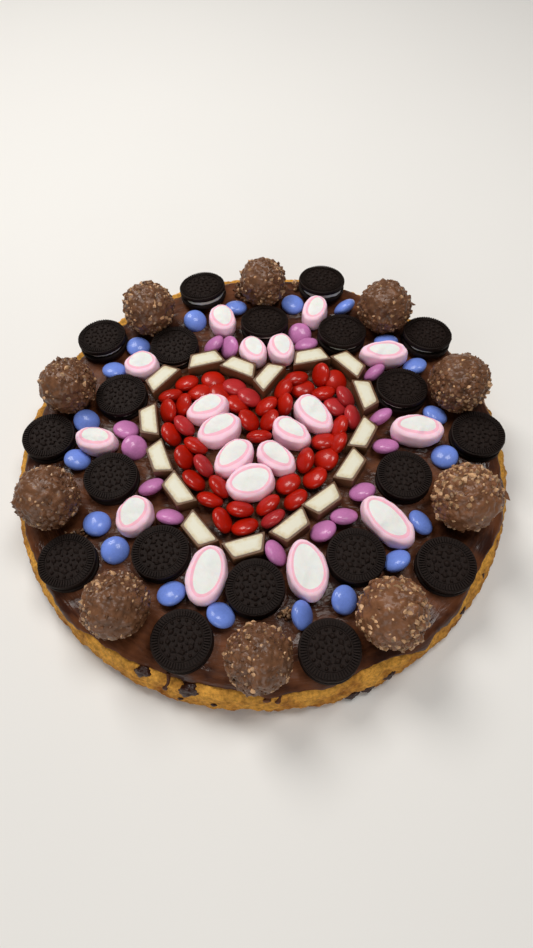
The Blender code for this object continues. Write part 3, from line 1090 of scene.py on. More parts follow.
def scattered(name, model, places, *materials):
    """One piece of many copies of a small model; places are pairs of matrix and material number."""
    shape = bmesh.new()
    for matrix, number in places:
        first_vertex = len(shape.verts)
        first_face = len(shape.faces)
        shape.from_mesh(model.data)
        shape.verts.ensure_lookup_table()
        shape.faces.ensure_lookup_table()
        bmesh.ops.transform(shape, matrix=matrix, verts=shape.verts[first_vertex:])
        for face in shape.faces[first_face:]:
            face.material_index = number
    mesh = bpy.data.meshes.new(name)
    shape.to_mesh(mesh)
    shape.free()
    piece = bpy.data.objects.new(name, mesh)
    bpy.context.collection.objects.link(piece)
    paint(piece, *materials)
    return piece


def chopped_bit():
    """An angular bit of chopped nut, one unit across, with few faces because there are many."""
    deselect()
    bpy.ops.mesh.primitive_ico_sphere_add(subdivisions=1, radius=0.5)
    bit = bpy.context.object
    bit.name = "chopped_bit"
    draw = random.Random(3)
    for vertex in bit.data.vertices:
        vertex.co *= draw.uniform(0.75, 1.2)
    edit(bit)
    resize(1.1, 0.95, 0.85)
    leave_edit()
    return bit


def crust_radius(height):
    """Radius of the crust's outline at a height, for what sits in its side."""
    share = max(0.0, height - BELLY_HEIGHT) / (BASE_HEIGHT - BELLY_HEIGHT)
    return BASE_RADIUS - SHOULDER_ROUNDING * share ** 3 - SIDE_SLOPE * share


def crumbliness(place):
    """How much relief the crust has at a place: none at its flat foot and under the spread."""
    if place.xy.length <= BASE_RADIUS - CRUMBLY_RIM:
        return 0.0
    return min(1.0, place.z / FLAT_FOOT)


def press_notches(crust):
    """Presses the notches into the foot; each fades out upwards and to both sides."""
    for vertex in crust.data.vertices:
        angle_deg = math.degrees(math.atan2(vertex.co.y, vertex.co.x))
        depth = sum(
            NOTCH_DEPTH * math.exp(-(((angle_deg - notch) / NOTCH_WIDTH_DEG) ** 2))
            for notch in FOOT_NOTCHES_DEG
        )
        low = max(0.0, 1 - vertex.co.z / NOTCH_HEIGHT)
        vertex.co.xy *= 1 - depth * low / vertex.co.xy.length


def model_crust(look):
    """The cookie: flat foot, slumped crumbly side, rounded shoulder and a top under the spread."""
    r, h = BASE_RADIUS / MM, BASE_HEIGHT / MM
    outline = (
        (r - 2.6, 0), (r - 1.2, 0.35), (r - 0.4, 1.5), (r, 3.4), (r - 0.1, 5.4), (r - 0.4, 7.6),
        (r - 0.9, 9.8), (r - 1.4, 11.8), (r - 2.1, h - 3.7), (r - 3.1, h - 2), (r - 4.6, h - 0.7),
        (r - 6.6, h - 0.1), (r - 9.0, h), (r - 12.0, h),
    )
    crust = turned("cookie_crust", in_metres(flowing(outline, 4)), CRUST_SIDES)
    weigh(crust, "baked_side", crumbliness)
    relief(crust, "CLOUDS", 8 * MM, look.lumps, group="baked_side")
    relief(crust, "VORONOI", 5 * MM, -look.crumb, (1, 1, 0.6), group="baked_side")
    relief(crust, "CLOUDS", 1.8 * MM, 0.5 * look.crumb, group="baked_side")
    press_notches(crust)
    smooth_shading(crust, 60)
    return crust


def model_chips(material):
    """Chocolate chips that show in the side: a few large ones in front, others all round."""
    deselect()
    bpy.ops.mesh.primitive_ico_sphere_add(subdivisions=4, radius=0.5)
    chip = bpy.context.object
    chip.name = "chip_model"
    relief(chip, "CLOUDS", 0.45, 0.4)
    relief(chip, "CLOUDS", 0.16, 0.12)
    draw = random.Random(12)
    chips = list(FRONT_CHIPS)
    limits = (STREWN_ANGLES_DEG, STREWN_HEIGHTS, STREWN_WIDTHS)
    for _ in range(STREWN_CHIPS):
        chips.append([draw.uniform(least, most) for least, most in limits])
    places = []
    for angle_deg, height, width in chips:
        height, width = height * MM, width * MM
        middle = on_rim(angle_deg, crust_radius(height) - 0.12 * width, height)
        turn = Matrix.Rotation(math.radians(angle_deg), 4, "Z")
        tilt = Matrix.Rotation(draw.uniform(-0.4, 0.4), 4, "X")
        size = Matrix.Diagonal((0.6 * width, width, 0.62 * width, 1))
        places.append((Matrix.Translation(middle) @ turn @ tilt @ size, 0))
    chips = scattered("chocolate_chips", chip, places, material)
    remove(chip)
    smooth_shading(chips, 60)
    return chips


class COOKIE_OT_crust(bpy.types.Operator):
    """Models the baked cookie and the chocolate chips in its side"""

    bl_idname = "cookie_pizza.crust"
    bl_label = "Cookie crust"

    def execute(self, context):
        look = context.scene.cookie_crust
        crust = model_crust(look)
        paint(crust, baked_dough(look))
        finished(crust, "crust", "cookie_base")
        chips = model_chips(melted_chip(look))
        finished(chips, "crust")
        return {"FINISHED"}


def nut_places(ball, size, side, rng, share_bare):
    """Where bits of nut sit in a praline's surface: spread evenly, fewer on its smooth side."""
    places = []
    for index in range(NUT_SPOTS):
        z = 1 - 2 * (index + 0.5) / NUT_SPOTS
        angle = index * GOLDEN_ANGLE + rng.uniform(-0.12, 0.12)
        ring = math.sqrt(1 - z * z)
        way = Vector((ring * math.cos(angle), ring * math.sin(angle), z + rng.uniform(-0.05, 0.05)))
        way.normalize()
        # none at the foot, and fewer on the smooth side, where they also sit deeper
        smooth = max(0.0, way.dot(side) - 0.2)
        if way.z < -0.75 or rng.random() < 0.75 * smooth:
            continue
        bit = size * (0.9 + 0.2 * share_bare) * rng.uniform(0.45, 1.0) ** 1.5
        turn = rng.uniform(*ANY_TURN)
        spin = Matrix.Rotation(turn, 4, Vector((rng.random(), rng.random(), 1)))
        hit, surface, _, _ = ball.ray_cast(2 * PRALINE_RADIUS * way, -way)
        if not hit:
            raise RuntimeError("a nut found no praline under it")
        number = 1 if rng.random() < share_bare * (1 - 0.5 * smooth) else 0
        middle = surface - (0.14 + 0.15 * smooth) * bit * way
        places.append((Matrix.Translation(middle) @ spin @ Matrix.Scale(bit, 4), number))
    return places


def praline(name, look, seed, side_deg, share_bare, materials):
    """A ball of wafer under nut crags and milk chocolate; its middle is at the origin."""
    facing, up = (math.radians(angle) for angle in side_deg)
    side = Vector((math.cos(facing) * math.cos(up), math.sin(facing) * math.cos(up), math.sin(up)))
    deselect()
    bpy.ops.mesh.primitive_ico_sphere_add(subdivisions=6, radius=BALL_SHARE * PRALINE_RADIUS)
    ball = bpy.context.object
    ball.name = name
    paint(ball, *materials)
    offset = Vector((seed, 2 * seed, 3 * seed)) * 20 * MM
    ball.data.transform(Matrix.Translation(offset))
    weigh(
        ball, "craggy",
        lambda co: min(1.0, max(0.3, 1.3 - (co - offset).normalized().dot(side))),
    )
    relief(ball, "CLOUDS", 11 * MM, 1.3 * look.crags)
    plain = [(vertex.co - offset).length for vertex in ball.data.vertices]
    relief(ball, "VORONOI", 3.0 * MM, -look.crags, group="craggy")
    relief(ball, "CLOUDS", 4.0 * MM, 0.7 * look.crags)
    relief(ball, "CLOUDS", 1.5 * MM, 0.5 * look.crags, group="craggy")
    ball.data.transform(Matrix.Translation(-offset))
    sunk = [before - vertex.co.length for before, vertex in zip(plain, ball.data.vertices)]
    # how far each point sank between the crags, for the painted shade in the coat
    mark(ball, HOLLOW, [max(0.0, min(1.0, 0.1 + 1.1 * depth / look.crags)) for depth in sunk])
    bpy.context.view_layer.update()
    bit = chopped_bit()
    places = nut_places(ball, look.nut, side, random.Random(seed), share_bare)
    bits = scattered("bits", bit, places, *materials)
    remove(bit)
    ball = joined([ball, bits], name)
    smooth_shading(ball, 40)
    return ball


class COOKIE_OT_pralines(bpy.types.Operator):
    """Models the hazelnut pralines on the outer ring"""

    bl_idname = "cookie_pizza.pralines"
    bl_label = "Hazelnut pralines"

    def execute(self, context):
        look = context.scene.cookie_praline
        thick = milk_chocolate_coat("milk_chocolate_coat", look.coat)
        thin = milk_chocolate_coat("thin_milk_chocolate_coat", look.thin_coat)
        nut = roasted_hazelnut(look)
        for index, size in enumerate(PRALINE_SIZES):
            name = f"hazelnut_praline_{index + 1:02d}"
            materials = (thin if index + 1 in PALE_PRALINES else thick, nut)
            ball = praline(
                name, look, index + 1, SMOOTH_SIDES[index], BARE_SHARES[index], materials
            )
            place = ring_place(PRALINE_RING, index)
            place.z = STAND + size * PRALINE_FOOT * PRALINE_RADIUS
            ball.data.transform(Matrix.Translation(place) @ Matrix.Scale(size, 4))
            finished(ball, "praline", f"praline_{index + 1:02d}")
        return {"FINISHED"}


def wafer_outline():
    """Outline of a wafer in millimetres, from its foot to the edge of its top."""
    r, h = BISCUIT_RADIUS / MM, WAFER_HEIGHT / MM
    return [(r - 0.6, 0), (r - 0.15, 0.3), (r, 0.8), (r, h - 0.7), (r - 0.15, h - 0.2), (r - 0.5, h)]


def rosette(materials):
    """The studs of the rosette that is stamped in the middle of a wafer."""
    studs = []
    for out, count, long, wide in ROSETTE:
        for index in range(count):
            angle = 360 * index / count
            deselect()
            bpy.ops.mesh.primitive_uv_sphere_add(segments=12, ring_count=6, radius=1 * MM)
            stud = bpy.context.object
            edit(stud)
            resize(long, wide, STUD_HEIGHT)
            leave_edit()
            place = Matrix.Translation(on_rim(angle, out * MM, WAFER_HEIGHT))
            stud.data.transform(place @ Matrix.Rotation(math.radians(angle), 4, "Z"))
            paint(stud, *materials)
            studs.append(stud)
    return studs


def model_plain_wafer(materials):
    """The lower wafer, foot at z = 0, with rounded edges and nothing stamped in it."""
    wafer = turned("wafer", in_metres(wafer_outline()), PLAIN_SIDES)
    paint(wafer, *materials)
    return wafer


def model_stamped_wafer(look, materials):
    """The upper wafer, foot at z = 0, with a ridged rim, a ring line and a rosette."""
    r, h = BISCUIT_RADIUS / MM, WAFER_HEIGHT / MM
    ridges_and_line = [
        (r - RIDGE_START, h), (r - RIDGE_END, h), (r - 3.9, h), (r - 4.05, h + 0.3),
        (r - 4.4, h + 0.3), (r - 4.6, h), (0.4, h),
    ]
    wafer = turned("wafer", in_metres(wafer_outline() + ridges_and_line), STAMPED_SIDES)
    paint(wafer, *materials)

    def on_a_ridge(face):
        middle = face.calc_center_median()
        in_from_edge = r - middle.xy.length / MM
        step = math.degrees(math.atan2(middle.y, middle.x)) % RIDGE_STEP_DEG
        on_rim_band = RIDGE_START < in_from_edge < RIDGE_END
        return face.normal.z > 0.9 and on_rim_band and step < RIDGE_STEP_DEG / 2

    edit(wafer)
    pick_faces(wafer, on_a_ridge)
    extrude_up(look.stamp)
    leave_edit()
    return joined([wafer, *rosette(materials)], "stamped_wafer")


def model_biscuit(look, materials):
    """Two wafers, the stamped one on top; the cream is added to each copy by itself."""
    lower = model_plain_wafer(materials)
    lower.data.transform(Matrix.Rotation(math.pi, 4, "X"))
    lower.data.transform(Matrix.Translation((0, 0, WAFER_HEIGHT)))
    upper = model_stamped_wafer(look, materials)
    upper.data.transform(Matrix.Translation((0, 0, BISCUIT_HEIGHT - WAFER_HEIGHT)))
    return joined([lower, upper], "biscuit_model")


def model_cream(materials):
    """The cream between the wafers, which bulges a little."""
    r = (BISCUIT_RADIUS - CREAM_INSET) / MM
    low = (WAFER_HEIGHT - CREAM_OVERLAP) / MM
    high = (BISCUIT_HEIGHT - WAFER_HEIGHT + CREAM_OVERLAP) / MM
    outline = (
        (r - 0.8, low), (r, low + 0.4), (r + 0.3, (low + high) / 2), (r, high - 0.4), (r - 0.8, high),
    )
    cream = turned("cream_model", in_metres(outline), PLAIN_SIDES)
    paint_one(cream, 1, *materials)
    return cream


class COOKIE_OT_biscuits(bpy.types.Operator):
    """Models the sandwich biscuits of both rings"""

    bl_idname = "cookie_pizza.biscuits"
    bl_label = "Sandwich biscuits"

    def execute(self, context):
        look = context.scene.cookie_biscuit
        materials = (cocoa_wafer(look), vanilla_cream(look))
        wafers = model_biscuit(look, materials)
        cream = model_cream(materials)
        rings = (("outer", OUTER_BISCUIT_RING, OUTER_LEANS), ("inner", INNER_BISCUIT_RING, INNER_LEANS))
        draw = random.Random(8)
        for label, ring, leans in rings:
            for index in range(len(ring["nudges"])):
                key = f"{label}_{index + 1:02d}"
                facing, lean = leans.get(index + 1, (0, 0))
                place = ring_place(ring, index)
                place.z = STAND + BISCUIT_RADIUS * math.sin(math.radians(lean))
                tipped = Matrix.Translation(place) @ leaning(facing, lean)
                spin = Matrix.Rotation(draw.uniform(0, 2 * math.pi), 4, "Z")
                usual = (draw.uniform(0, 360), USUAL_SQUEEZE)
                way, reach = SQUEEZED_CREAM.get(key, usual)
                shift = Matrix.Translation(on_rim(way, reach * MM, 0))
                biscuit = copied(wafers, "wafers", tipped @ spin)
                middle = copied(cream, "middle", tipped @ shift)
                relief(middle, "CLOUDS", 4 * MM, 0.8 * MM)
                biscuit = joined([biscuit, middle], f"sandwich_biscuit_{key}")
                relief(biscuit, "CLOUDS", 5 * MM, 0.3 * MM)
                relief(biscuit, "CLOUDS", 1.0 * MM, 0.28 * MM)
                smooth_shading(biscuit, 35)
                finished(biscuit, "biscuit", f"biscuit_{key}")
        remove(wafers)
        remove(cream)
        return {"FINISHED"}


def slice_shell(materials):
    """The shell of a bar slice: a block that narrows to one side, with softly rounded edges."""
    deselect()
    bpy.ops.mesh.primitive_cube_add(size=1)
    shell = bpy.context.object
    edit(shell)
    bpy.ops.transform.translate(value=(0, 0, 0.5))
    resize(SLICE_BASE, SLICE_DEPTH, SLICE_HEIGHT)
    pick_vertices(shell, lambda co: co.y > 0)
    resize(SLICE_TOP / SLICE_BASE, 1, 1)
    bpy.ops.mesh.select_all(action="SELECT")
    bpy.ops.mesh.subdivide(number_cuts=7)
    leave_edit()
    apply_modifier(shell, "BEVEL", width=0.4 * MM, segments=2, limit_method="ANGLE")
    paint(shell, *materials)
    mark(shell, NEAR_SHELL, [1.0] * len(shell.data.vertices))
    return shell


def slice_filling(wall, materials):
    """The filling in a slice's top: rounded at its corners, with a melted edge and a pure middle."""
    off_middle = (THIN_WALL - wall) / 2
    base = SLICE_BASE - 2.2 * wall
    deselect()
    bpy.ops.mesh.primitive_plane_add(size=1)
    filling = bpy.context.object
    edit(filling)
    bpy.ops.transform.translate(value=(0, 0, SLICE_HEIGHT - FILLING_DEPTH))
    resize(base, SLICE_DEPTH - wall - THIN_WALL, 1)
    pick_vertices(filling, lambda co: co.y > 0)
    resize((SLICE_TOP - 1.4 * wall) / base, 1, 1)
    bpy.ops.mesh.select_all(action="SELECT")
    bpy.ops.mesh.bevel(offset=FILLING_CORNER, segments=4, affect="VERTICES")
    bpy.ops.mesh.select_mode(type="FACE")
    bpy.ops.mesh.select_all(action="SELECT")
    bpy.ops.transform.translate(value=(0, off_middle, 0))
    extrude_up(FILLING_DEPTH + FILLING_RISE)
    bpy.ops.mesh.inset(thickness=MELTED_WIDTH)
    bpy.ops.transform.translate(value=(0, 0, FILLING_RISE))
    extrude_up(0.05 * MM)
    resize(*PURE_FILLING, 1, (0, off_middle, SLICE_HEIGHT))
    bpy.ops.mesh.select_all(action="SELECT")
    bpy.ops.mesh.normals_make_consistent(inside=False)
    leave_edit()
    paint_one(filling, 2, *materials)
    heights = [vertex.co.z for vertex in filling.data.vertices]
    highest = max(heights)
    for face in filling.data.polygons:
        if face.center.z > highest - 0.06 * MM:
            face.material_index = 1
    mark(filling, NEAR_SHELL, [float(z < highest - 0.01 * MM) for z in heights])
    return filling


class COOKIE_OT_slices(bpy.types.Operator):
    """Models the filled bar slices that outline the heart"""

    bl_idname = "cookie_pizza.slices"
    bl_label = "Filled bar slices"

    def execute(self, context):
        look = context.scene.cookie_slice
        materials = (bar_shell(look), milk_filling(look), melted_edge(look))
        shell = slice_shell(materials)
        filling = slice_filling(look.wall, materials)
        model = joined([shell, filling], "slice_model")
        for index, (x, y, out_deg) in enumerate(BAR_SLICES):
            turn = Matrix.Rotation(math.radians(out_deg - 90), 4, "Z")
            place = Matrix.Translation((x * MM, y * MM, STAND))
            bar = copied(model, f"filled_bar_slice_{index + 1:02d}", place @ turn)
            relief(bar, "CLOUDS", 5 * MM, 0.45 * MM)
            smooth_shading(bar, 35)
            finished(bar, "filled_bar", f"bar_slice_{index + 1:02d}")
        remove(model)
        return {"FINISHED"}


def shape_cut(sweet, size_mm, cut, edge):
    """Moves the white off the middle of the cut, and widens the marshmallow towards one end.

    The white lies off the middle, since the knife came down at a slant.
    """
    length, width, turn_deg = size_mm
    taper, left_pink = cut
    turn = math.radians(turn_deg)
    shift = 2 * CUT_SHIFT
    back = Vector((shift * math.sin(turn) / length, shift * math.cos(turn) / width, 0))
    for vertex in sweet.data.vertices:
        out = vertex.co.xy.length
        top = max(0.0, 1 - out / (edge + 0.12)) if vertex.co.z > 0.9 else 0.0
        # nought on the side, and rising to one just inside the edge of the cut
        inside = min(1.0, 4 * top)
        vertex.co += back * inside
        if vertex.co.y * left_pink > 0:
            vertex.co.y *= 1 - abs(left_pink) * inside
        vertex.co.y *= 1 + (0.3 + 0.7 * inside) * taper * vertex.co.x


def marshmallow(name, look, size_mm, cut, materials):
    """A cut twist marshmallow: pink skin, a darker cut line and the white middle on top."""
    length, width, turn_deg = size_mm
    core = 1 - 2 * look.skin / (width * MM)
    edge = core + CUT_SKIN * (1 - core)
    # shares of the radius and of the height, from the foot up the side and over the cut
    outline = (
        (0.70, 0), (0.84, 0.05), (0.95, 0.22), (1.0, 0.48), (0.99, 0.70), (0.95, 0.87),
        (0.90, 0.96), (edge, 0.99), (core + 0.05, 0.985), (core, 0.975), (core - 0.06, 0.985),
        (0.5 * core, 1.0), (0.1, 1.005),
    )
    sweet = turned(name, outline, MARSHMALLOW_SIDES)
    paint(sweet, *materials)
    for face in sweet.data.polygons:
        out = face.center.xy.length
        if face.normal.z > 0.5 and out < core:
            face.material_index = 2
        elif face.normal.z > 0.5 and out < edge:
            face.material_index = 1
    apply_modifier(sweet, "SUBSURF", levels=1, render_levels=1)
    shape_cut(sweet, size_mm, cut, edge)
    size = Matrix.Diagonal((length * MM / 2, width * MM / 2, MARSHMALLOW_HEIGHT, 1))
    sweet.data.transform(Matrix.Rotation(math.radians(turn_deg), 4, "Z") @ size)
    for vertex in sweet.data.vertices:
        vertex.co.z += CUT_SLOPE * (vertex.co.z / MARSHMALLOW_HEIGHT) * vertex.co.y
    return sweet


def settle_marshmallow(sweet, place):
    """Puts a marshmallow in its place and dents it softly."""
    sweet.data.transform(Matrix.Translation(place))
    relief(sweet, "CLOUDS", 9 * MM, 2.0 * MM)
    relief(sweet, "CLOUDS", 3 * MM, 0.3 * MM)
    smooth_shading(sweet, 60)


class COOKIE_OT_marshmallows(bpy.types.Operator):
    """Models the cut marshmallows, those round the heart and those in it"""

    bl_idname = "cookie_pizza.marshmallows"
    bl_label = "Cut marshmallows"

    def execute(self, context):
        look = context.scene.cookie_marshmallow
        materials = (
            soft_marshmallow("pink_marshmallow_foam", look.pink, 0.1 * MM),
            soft_marshmallow("cut_pink_marshmallow_foam", look.cut_pink, 0.1 * MM),
            soft_marshmallow("white_marshmallow_foam", look.white, 0.2 * MM),
        )
        for index, (x, y, *size_mm) in enumerate(OUTER_MARSHMALLOWS):
            name = f"cut_marshmallow_{index + 1:02d}"
            sweet = marshmallow(name, look, size_mm, OUTER_CUTS[index], materials)
            settle_marshmallow(sweet, (x * MM, y * MM, STAND))
            finished(sweet, "marshmallow", f"marshmallow_{index + 1:02d}")
        heart = []
        for index, (x, y, *size_mm) in enumerate(HEART_MARSHMALLOWS):
            sweet = marshmallow(f"heart_{index + 1}", look, size_mm, HEART_CUTS[index], materials)
            settle_marshmallow(sweet, (x * MM, y * MM, SPREAD_TOP - MARSHMALLOW_SINK))
            heart.append(sweet)
        finished(joined(heart, "heart_marshmallows"), "marshmallow", "chocolate_spread")
        return {"FINISHED"}


def lens_height(lean_deg):
    """Height of a lens's middle above the spread when it leans by this much and sinks in."""
    lean = math.radians(lean_deg)
    reach = math.hypot(LENS_HALF_HEIGHT * math.cos(lean), LENS_RADIUS * math.sin(lean))
    return reach - LENS_SINK


def model_lens():
    """One lens sweet, its middle at the origin."""
    deselect()
    bpy.ops.mesh.primitive_uv_sphere_add(segments=28, ring_count=14, radius=1)
    lens = bpy.context.object
    lens.name = "lens_model"
    edit(lens)
    resize(LENS_RADIUS, LENS_RADIUS, LENS_HALF_HEIGHT)
    leave_edit()
    return lens


class COOKIE_OT_sweets(bpy.types.Operator):
    """Models the sugar-coated lens sweets, one piece for each colour"""

    bl_idname = "cookie_pizza.sweets"
    bl_label = "Lens sweets"

    def execute(self, context):
        look = context.scene.cookie_sweet
        lens = model_lens()
        reds = list(enumerate(RED_LENSES, 1))
        kinds = (
            ("orange_red", look.red, [spot for number, spot in reds if number not in RASPBERRY]),
            ("raspberry", look.raspberry, [spot for number, spot in reds if number in RASPBERRY]),
            ("blue", look.blue, BLUE_LENSES),
            ("mauve", look.mauve, MAUVE_LENSES),
        )
        for colour, shell, spots in kinds:
            places = []
            for x, y, facing, lean in spots:
                middle = (x * MM, y * MM, SPREAD_TOP + lens_height(lean))
                places.append((Matrix.Translation(middle) @ leaning(facing, lean), 0))
            coat = sugar_shell(f"{colour}_sugar_shell", shell)
            sweets = scattered(f"{colour}_lens_sweets", lens, places, coat)
            relief(sweets, "CLOUDS", 8 * MM, 0.5 * MM)
            smooth_shading(sweets, 80)
            finished(sweets, "spread", "chocolate_spread")
        remove(lens)
        return {"FINISHED"}


def spread_edge(angle):
    """Radius of the spread's uneven outline at this angle, as the solid has it."""
    wave = noise.noise(Vector((math.cos(angle), math.sin(angle), 0.3)) * 4.0)
    wave += 0.5 * noise.noise(Vector((math.cos(angle), math.sin(angle), 0.7)) * 11.0)
    return SPREAD_RADIUS + SPREAD_WAVE * wave


def angle_apart(first_deg, second_deg):
    """How far two directions are apart, in degrees, the short way round."""
    return (first_deg - second_deg + 180) % 360 - 180


def model_drips():
    """Drips of spread that ran over the shoulder and down the side: rows of beads that merge."""
    deselect()
    bpy.ops.mesh.primitive_uv_sphere_add(segments=20, ring_count=12, radius=0.5)
    bead = bpy.context.object
    places = []
    for angle_deg, down, width in SPREAD_DRIPS:
        turn = Matrix.Rotation(math.radians(angle_deg), 4, "Z")
        for step in range(DRIP_BEADS):
            share = step / (DRIP_BEADS - 1)
            height = BASE_HEIGHT + (1 - (down + 1) * share) * MM
            out = crust_radius(height) - (0.3 - 0.5 * share) * MM
            thick = width * MM * (0.62 + 0.38 * (2 * share - 1) ** 2)
            side = on_rim(angle_deg + 0.3 * math.sin(4 * share), out, height)
            size = Matrix.Diagonal((1.6 * MM, thick, 1.3 * thick, 1))
            places.append((Matrix.Translation(side) @ turn @ size, 0))
    drips = scattered("drips", bead, places)
    remove(bead)
    return drips


def shape_edge(spread):
    """Draws the spread's round edge out and in, and lets what hangs over the shoulder sag."""
    for vertex in spread.data.vertices:
        angle = math.atan2(vertex.co.y, vertex.co.x)
        out = vertex.co.xy.length
        ragged = sum(depth * noise.noise(vertex.co * bends) for depth, bends in RAGGED_BENDS)
        lobes = sum(
            far * MM * math.exp(-((angle_apart(math.degrees(angle), middle) / half) ** 2))
            for middle, half, far in SPREAD_LOBES
        )
        # the middle stays where it is, and the edge goes all the way
        share = (out / SPREAD_RADIUS) ** 6
        reach = spread_edge(angle) + ragged + lobes - SPREAD_RADIUS
        vertex.co.xy *= 1 + share * reach / SPREAD_RADIUS
        over = max(0.0, vertex.co.xy.length - crust_radius(BASE_HEIGHT))
        vertex.co.z -= 0.5 * over ** 2 / (2.5 * MM)


def above_the_lip(place):
    """How much of the knife's strokes a place gets: all on the top, and less down the lip."""
    return max(0.0, min(1.0, (place.z - SPREAD_SURFACE + 2.2 * MM) / (2.2 * MM)))


def model_spread(look):
    """The spread: an uneven round with a soft lip and knife strokes."""
    r, top = SPREAD_RADIUS / MM, SPREAD_SURFACE / MM
    lip = [
        (r - 2.2, top - 2.6), (r - 0.9, top - 2.45), (r - 0.1, top - 2.1), (r, top - 1.7),
        (r - 0.6, top - 1.15), (r - 1.8, top - 0.6), (r - 3.4, top - 0.2), (r - LIP_WIDTH, top),
    ]
    step = (r - LIP_WIDTH - INNERMOST_RING) / SPREAD_RINGS
    flat = [(r - LIP_WIDTH - step * (ring + 1), top) for ring in range(SPREAD_RINGS)]
    spread = turned("chocolate_spread_layer", in_metres(lip + flat), SPREAD_SIDES)
    shape_edge(spread)
    weigh(spread, "top", above_the_lip)
    relief(spread, "CLOUDS", 14 * MM, 0.9 * look.stroke, along="Z", group="top")
    relief(spread, "CLOUDS", 2.4 * MM, look.stroke, (6, 1, 1), 25, "Z", "top")
    relief(spread, "CLOUDS", 2.0 * MM, 0.7 * look.stroke, (7, 1, 1), -50, "Z", "top")
    return spread


def raise_at_toppings(spread, cling):
    """Lifts the spread where it is close to a topping."""
    names = [name for name in frame["nodes"] if name not in ("cookie_base", "chocolate_spread")]
    copies = [copied(frame["nodes"][name], "near", Matrix.Identity(4)) for name in names]
    for piece in [p for p in bpy.data.objects if p.name.endswith("lens_sweets")]:
        copies.append(copied(piece, "near", Matrix.Identity(4)))
    copies.append(copied(bpy.data.objects["heart_marshmallows"], "near", Matrix.Identity(4)))
    toppings = joined(copies, "near_toppings")
    weigh(spread, "close", lambda co: 1.0)
    apply_modifier(
        spread, "VERTEX_WEIGHT_PROXIMITY", vertex_group="close", target=toppings,
        proximity_mode="GEOMETRY", proximity_geometry={"FACE"}, min_dist=CLING_REACH,
        max_dist=0.2 * MM, falloff_type="SMOOTH",
    )
    apply_modifier(
        spread, "DISPLACE", strength=cling, mid_level=0.0, direction="Z", vertex_group="close"
    )
    remove(toppings)


class COOKIE_OT_spread(bpy.types.Operator):
    """Models the chocolate spread; run it after the toppings, because it rises round them"""

    bl_idname = "cookie_pizza.spread"
    bl_label = "Chocolate spread"

    def execute(self, context):
        look = context.scene.cookie_spread
        spread = model_spread(look)
        raise_at_toppings(spread, look.cling)
        spread = joined([spread, model_drips()], "chocolate_spread_layer")
        smooth_shading(spread, 70)
        paint(spread, chocolate_spread(look))
        finished(spread, "spread", "chocolate_spread")
        return {"FINISHED"}


def crumb_places(draw):
    """Where the fallen crumbs lie: in heaps that are highest in their middle."""
    places = []
    for x, y, width, depth, height, count in CRUMB_HEAPS:
        for _ in range(count):
            across = max(-1, min(1, draw.gauss(0, 0.45)))
            along = max(-1, min(1, draw.gauss(0, 0.45)))
            lift = draw.random() * height * max(0, 1 - across * across - along * along)
            size = draw.uniform(*CRUMB_SIZES) * MM
            middle = Vector((x + across * width / 2, y + along * depth / 2, lift)) * MM
            middle.z += STAND + 0.3 * size
            axis = Vector((draw.random(), draw.random(), 1))
            spin = Matrix.Rotation(draw.uniform(*ANY_TURN), 4, axis)
            number = 1 if draw.random() < BARE_CRUMBS else 0
            places.append((Matrix.Translation(middle) @ spin @ Matrix.Scale(size, 4), number))
    return places


def flake_places():
    """Where the thin flakes stick out, each with its outer end a little lower."""
    places = []
    for x, y, z, long, wide, turn_deg in FLAKES:
        size = Matrix.Diagonal((long * MM, wide * MM, FLAKE_THICKNESS, 1))
        turn = Matrix.Rotation(math.radians(turn_deg), 4, "Z")
        tilted = turn @ Matrix.Rotation(FLAKE_TILT, 4, "Y")
        places.append((Matrix.Translation(Vector((x, y, z)) * MM) @ tilted @ size, 0))
    return places


class COOKIE_OT_crumbs(bpy.types.Operator):
    """Scatters the nut crumbs and chocolate flakes that came off the pralines"""

    bl_idname = "cookie_pizza.crumbs"
    bl_label = "Nut crumbs"

    def execute(self, context):
        look = context.scene.cookie_praline
        places = crumb_places(random.Random(5)) + flake_places()
        bit = chopped_bit()
        chocolate = milk_chocolate_coat("milk_chocolate_crumbs", look.coat)
        crumbs = scattered("fallen_nut_crumbs", bit, places, chocolate, roasted_hazelnut(look))
        remove(bit)
        smooth_shading(crumbs, 40)
        finished(crumbs, "praline")
        return {"FINISHED"}


def add_light(name, power, place, width, colour):
    """A soft light that looks at the middle of the cookie."""
    deselect()
    bpy.ops.object.light_add(type="AREA", location=place)
    light = bpy.context.object
    light.name = name
    light.data.energy = power
    light.data.size = width
    light.data.color = colour
    light.rotation_euler = (-Vector(place)).to_track_quat("-Z", "Y").to_euler()


def add_camera():
    """The camera, at the photograph's place and angle."""
    down, right_turn, roll = (
        math.radians(angle) for angle in (CAMERA_DOWN_DEG, CAMERA_RIGHT_DEG, CAMERA_ROLL_DEG)
    )
    ahead = Vector((
        math.sin(right_turn) * math.cos(down), math.cos(right_turn) * math.cos(down), -math.sin(down)
    ))
    right = Vector((math.cos(right_turn), -math.sin(right_turn), 0))
    up = right.cross(ahead)
    rolled_right = math.cos(roll) * right + math.sin(roll) * up
    rolled_up = math.cos(roll) * up - math.sin(roll) * right
    deselect()
    bpy.ops.object.camera_add()
    camera = bpy.context.object
    camera.matrix_world = Matrix.Translation(CAMERA_PLACE) @ Matrix(
        (rolled_right, rolled_up, -ahead)
    ).transposed().to_4x4()
    camera.data.lens = FOCAL_PIXELS * SENSOR_MM / IMAGE_HEIGHT
    camera.data.sensor_width = SENSOR_MM
    camera.data.clip_start = 10 * MM
    bpy.context.scene.camera = camera


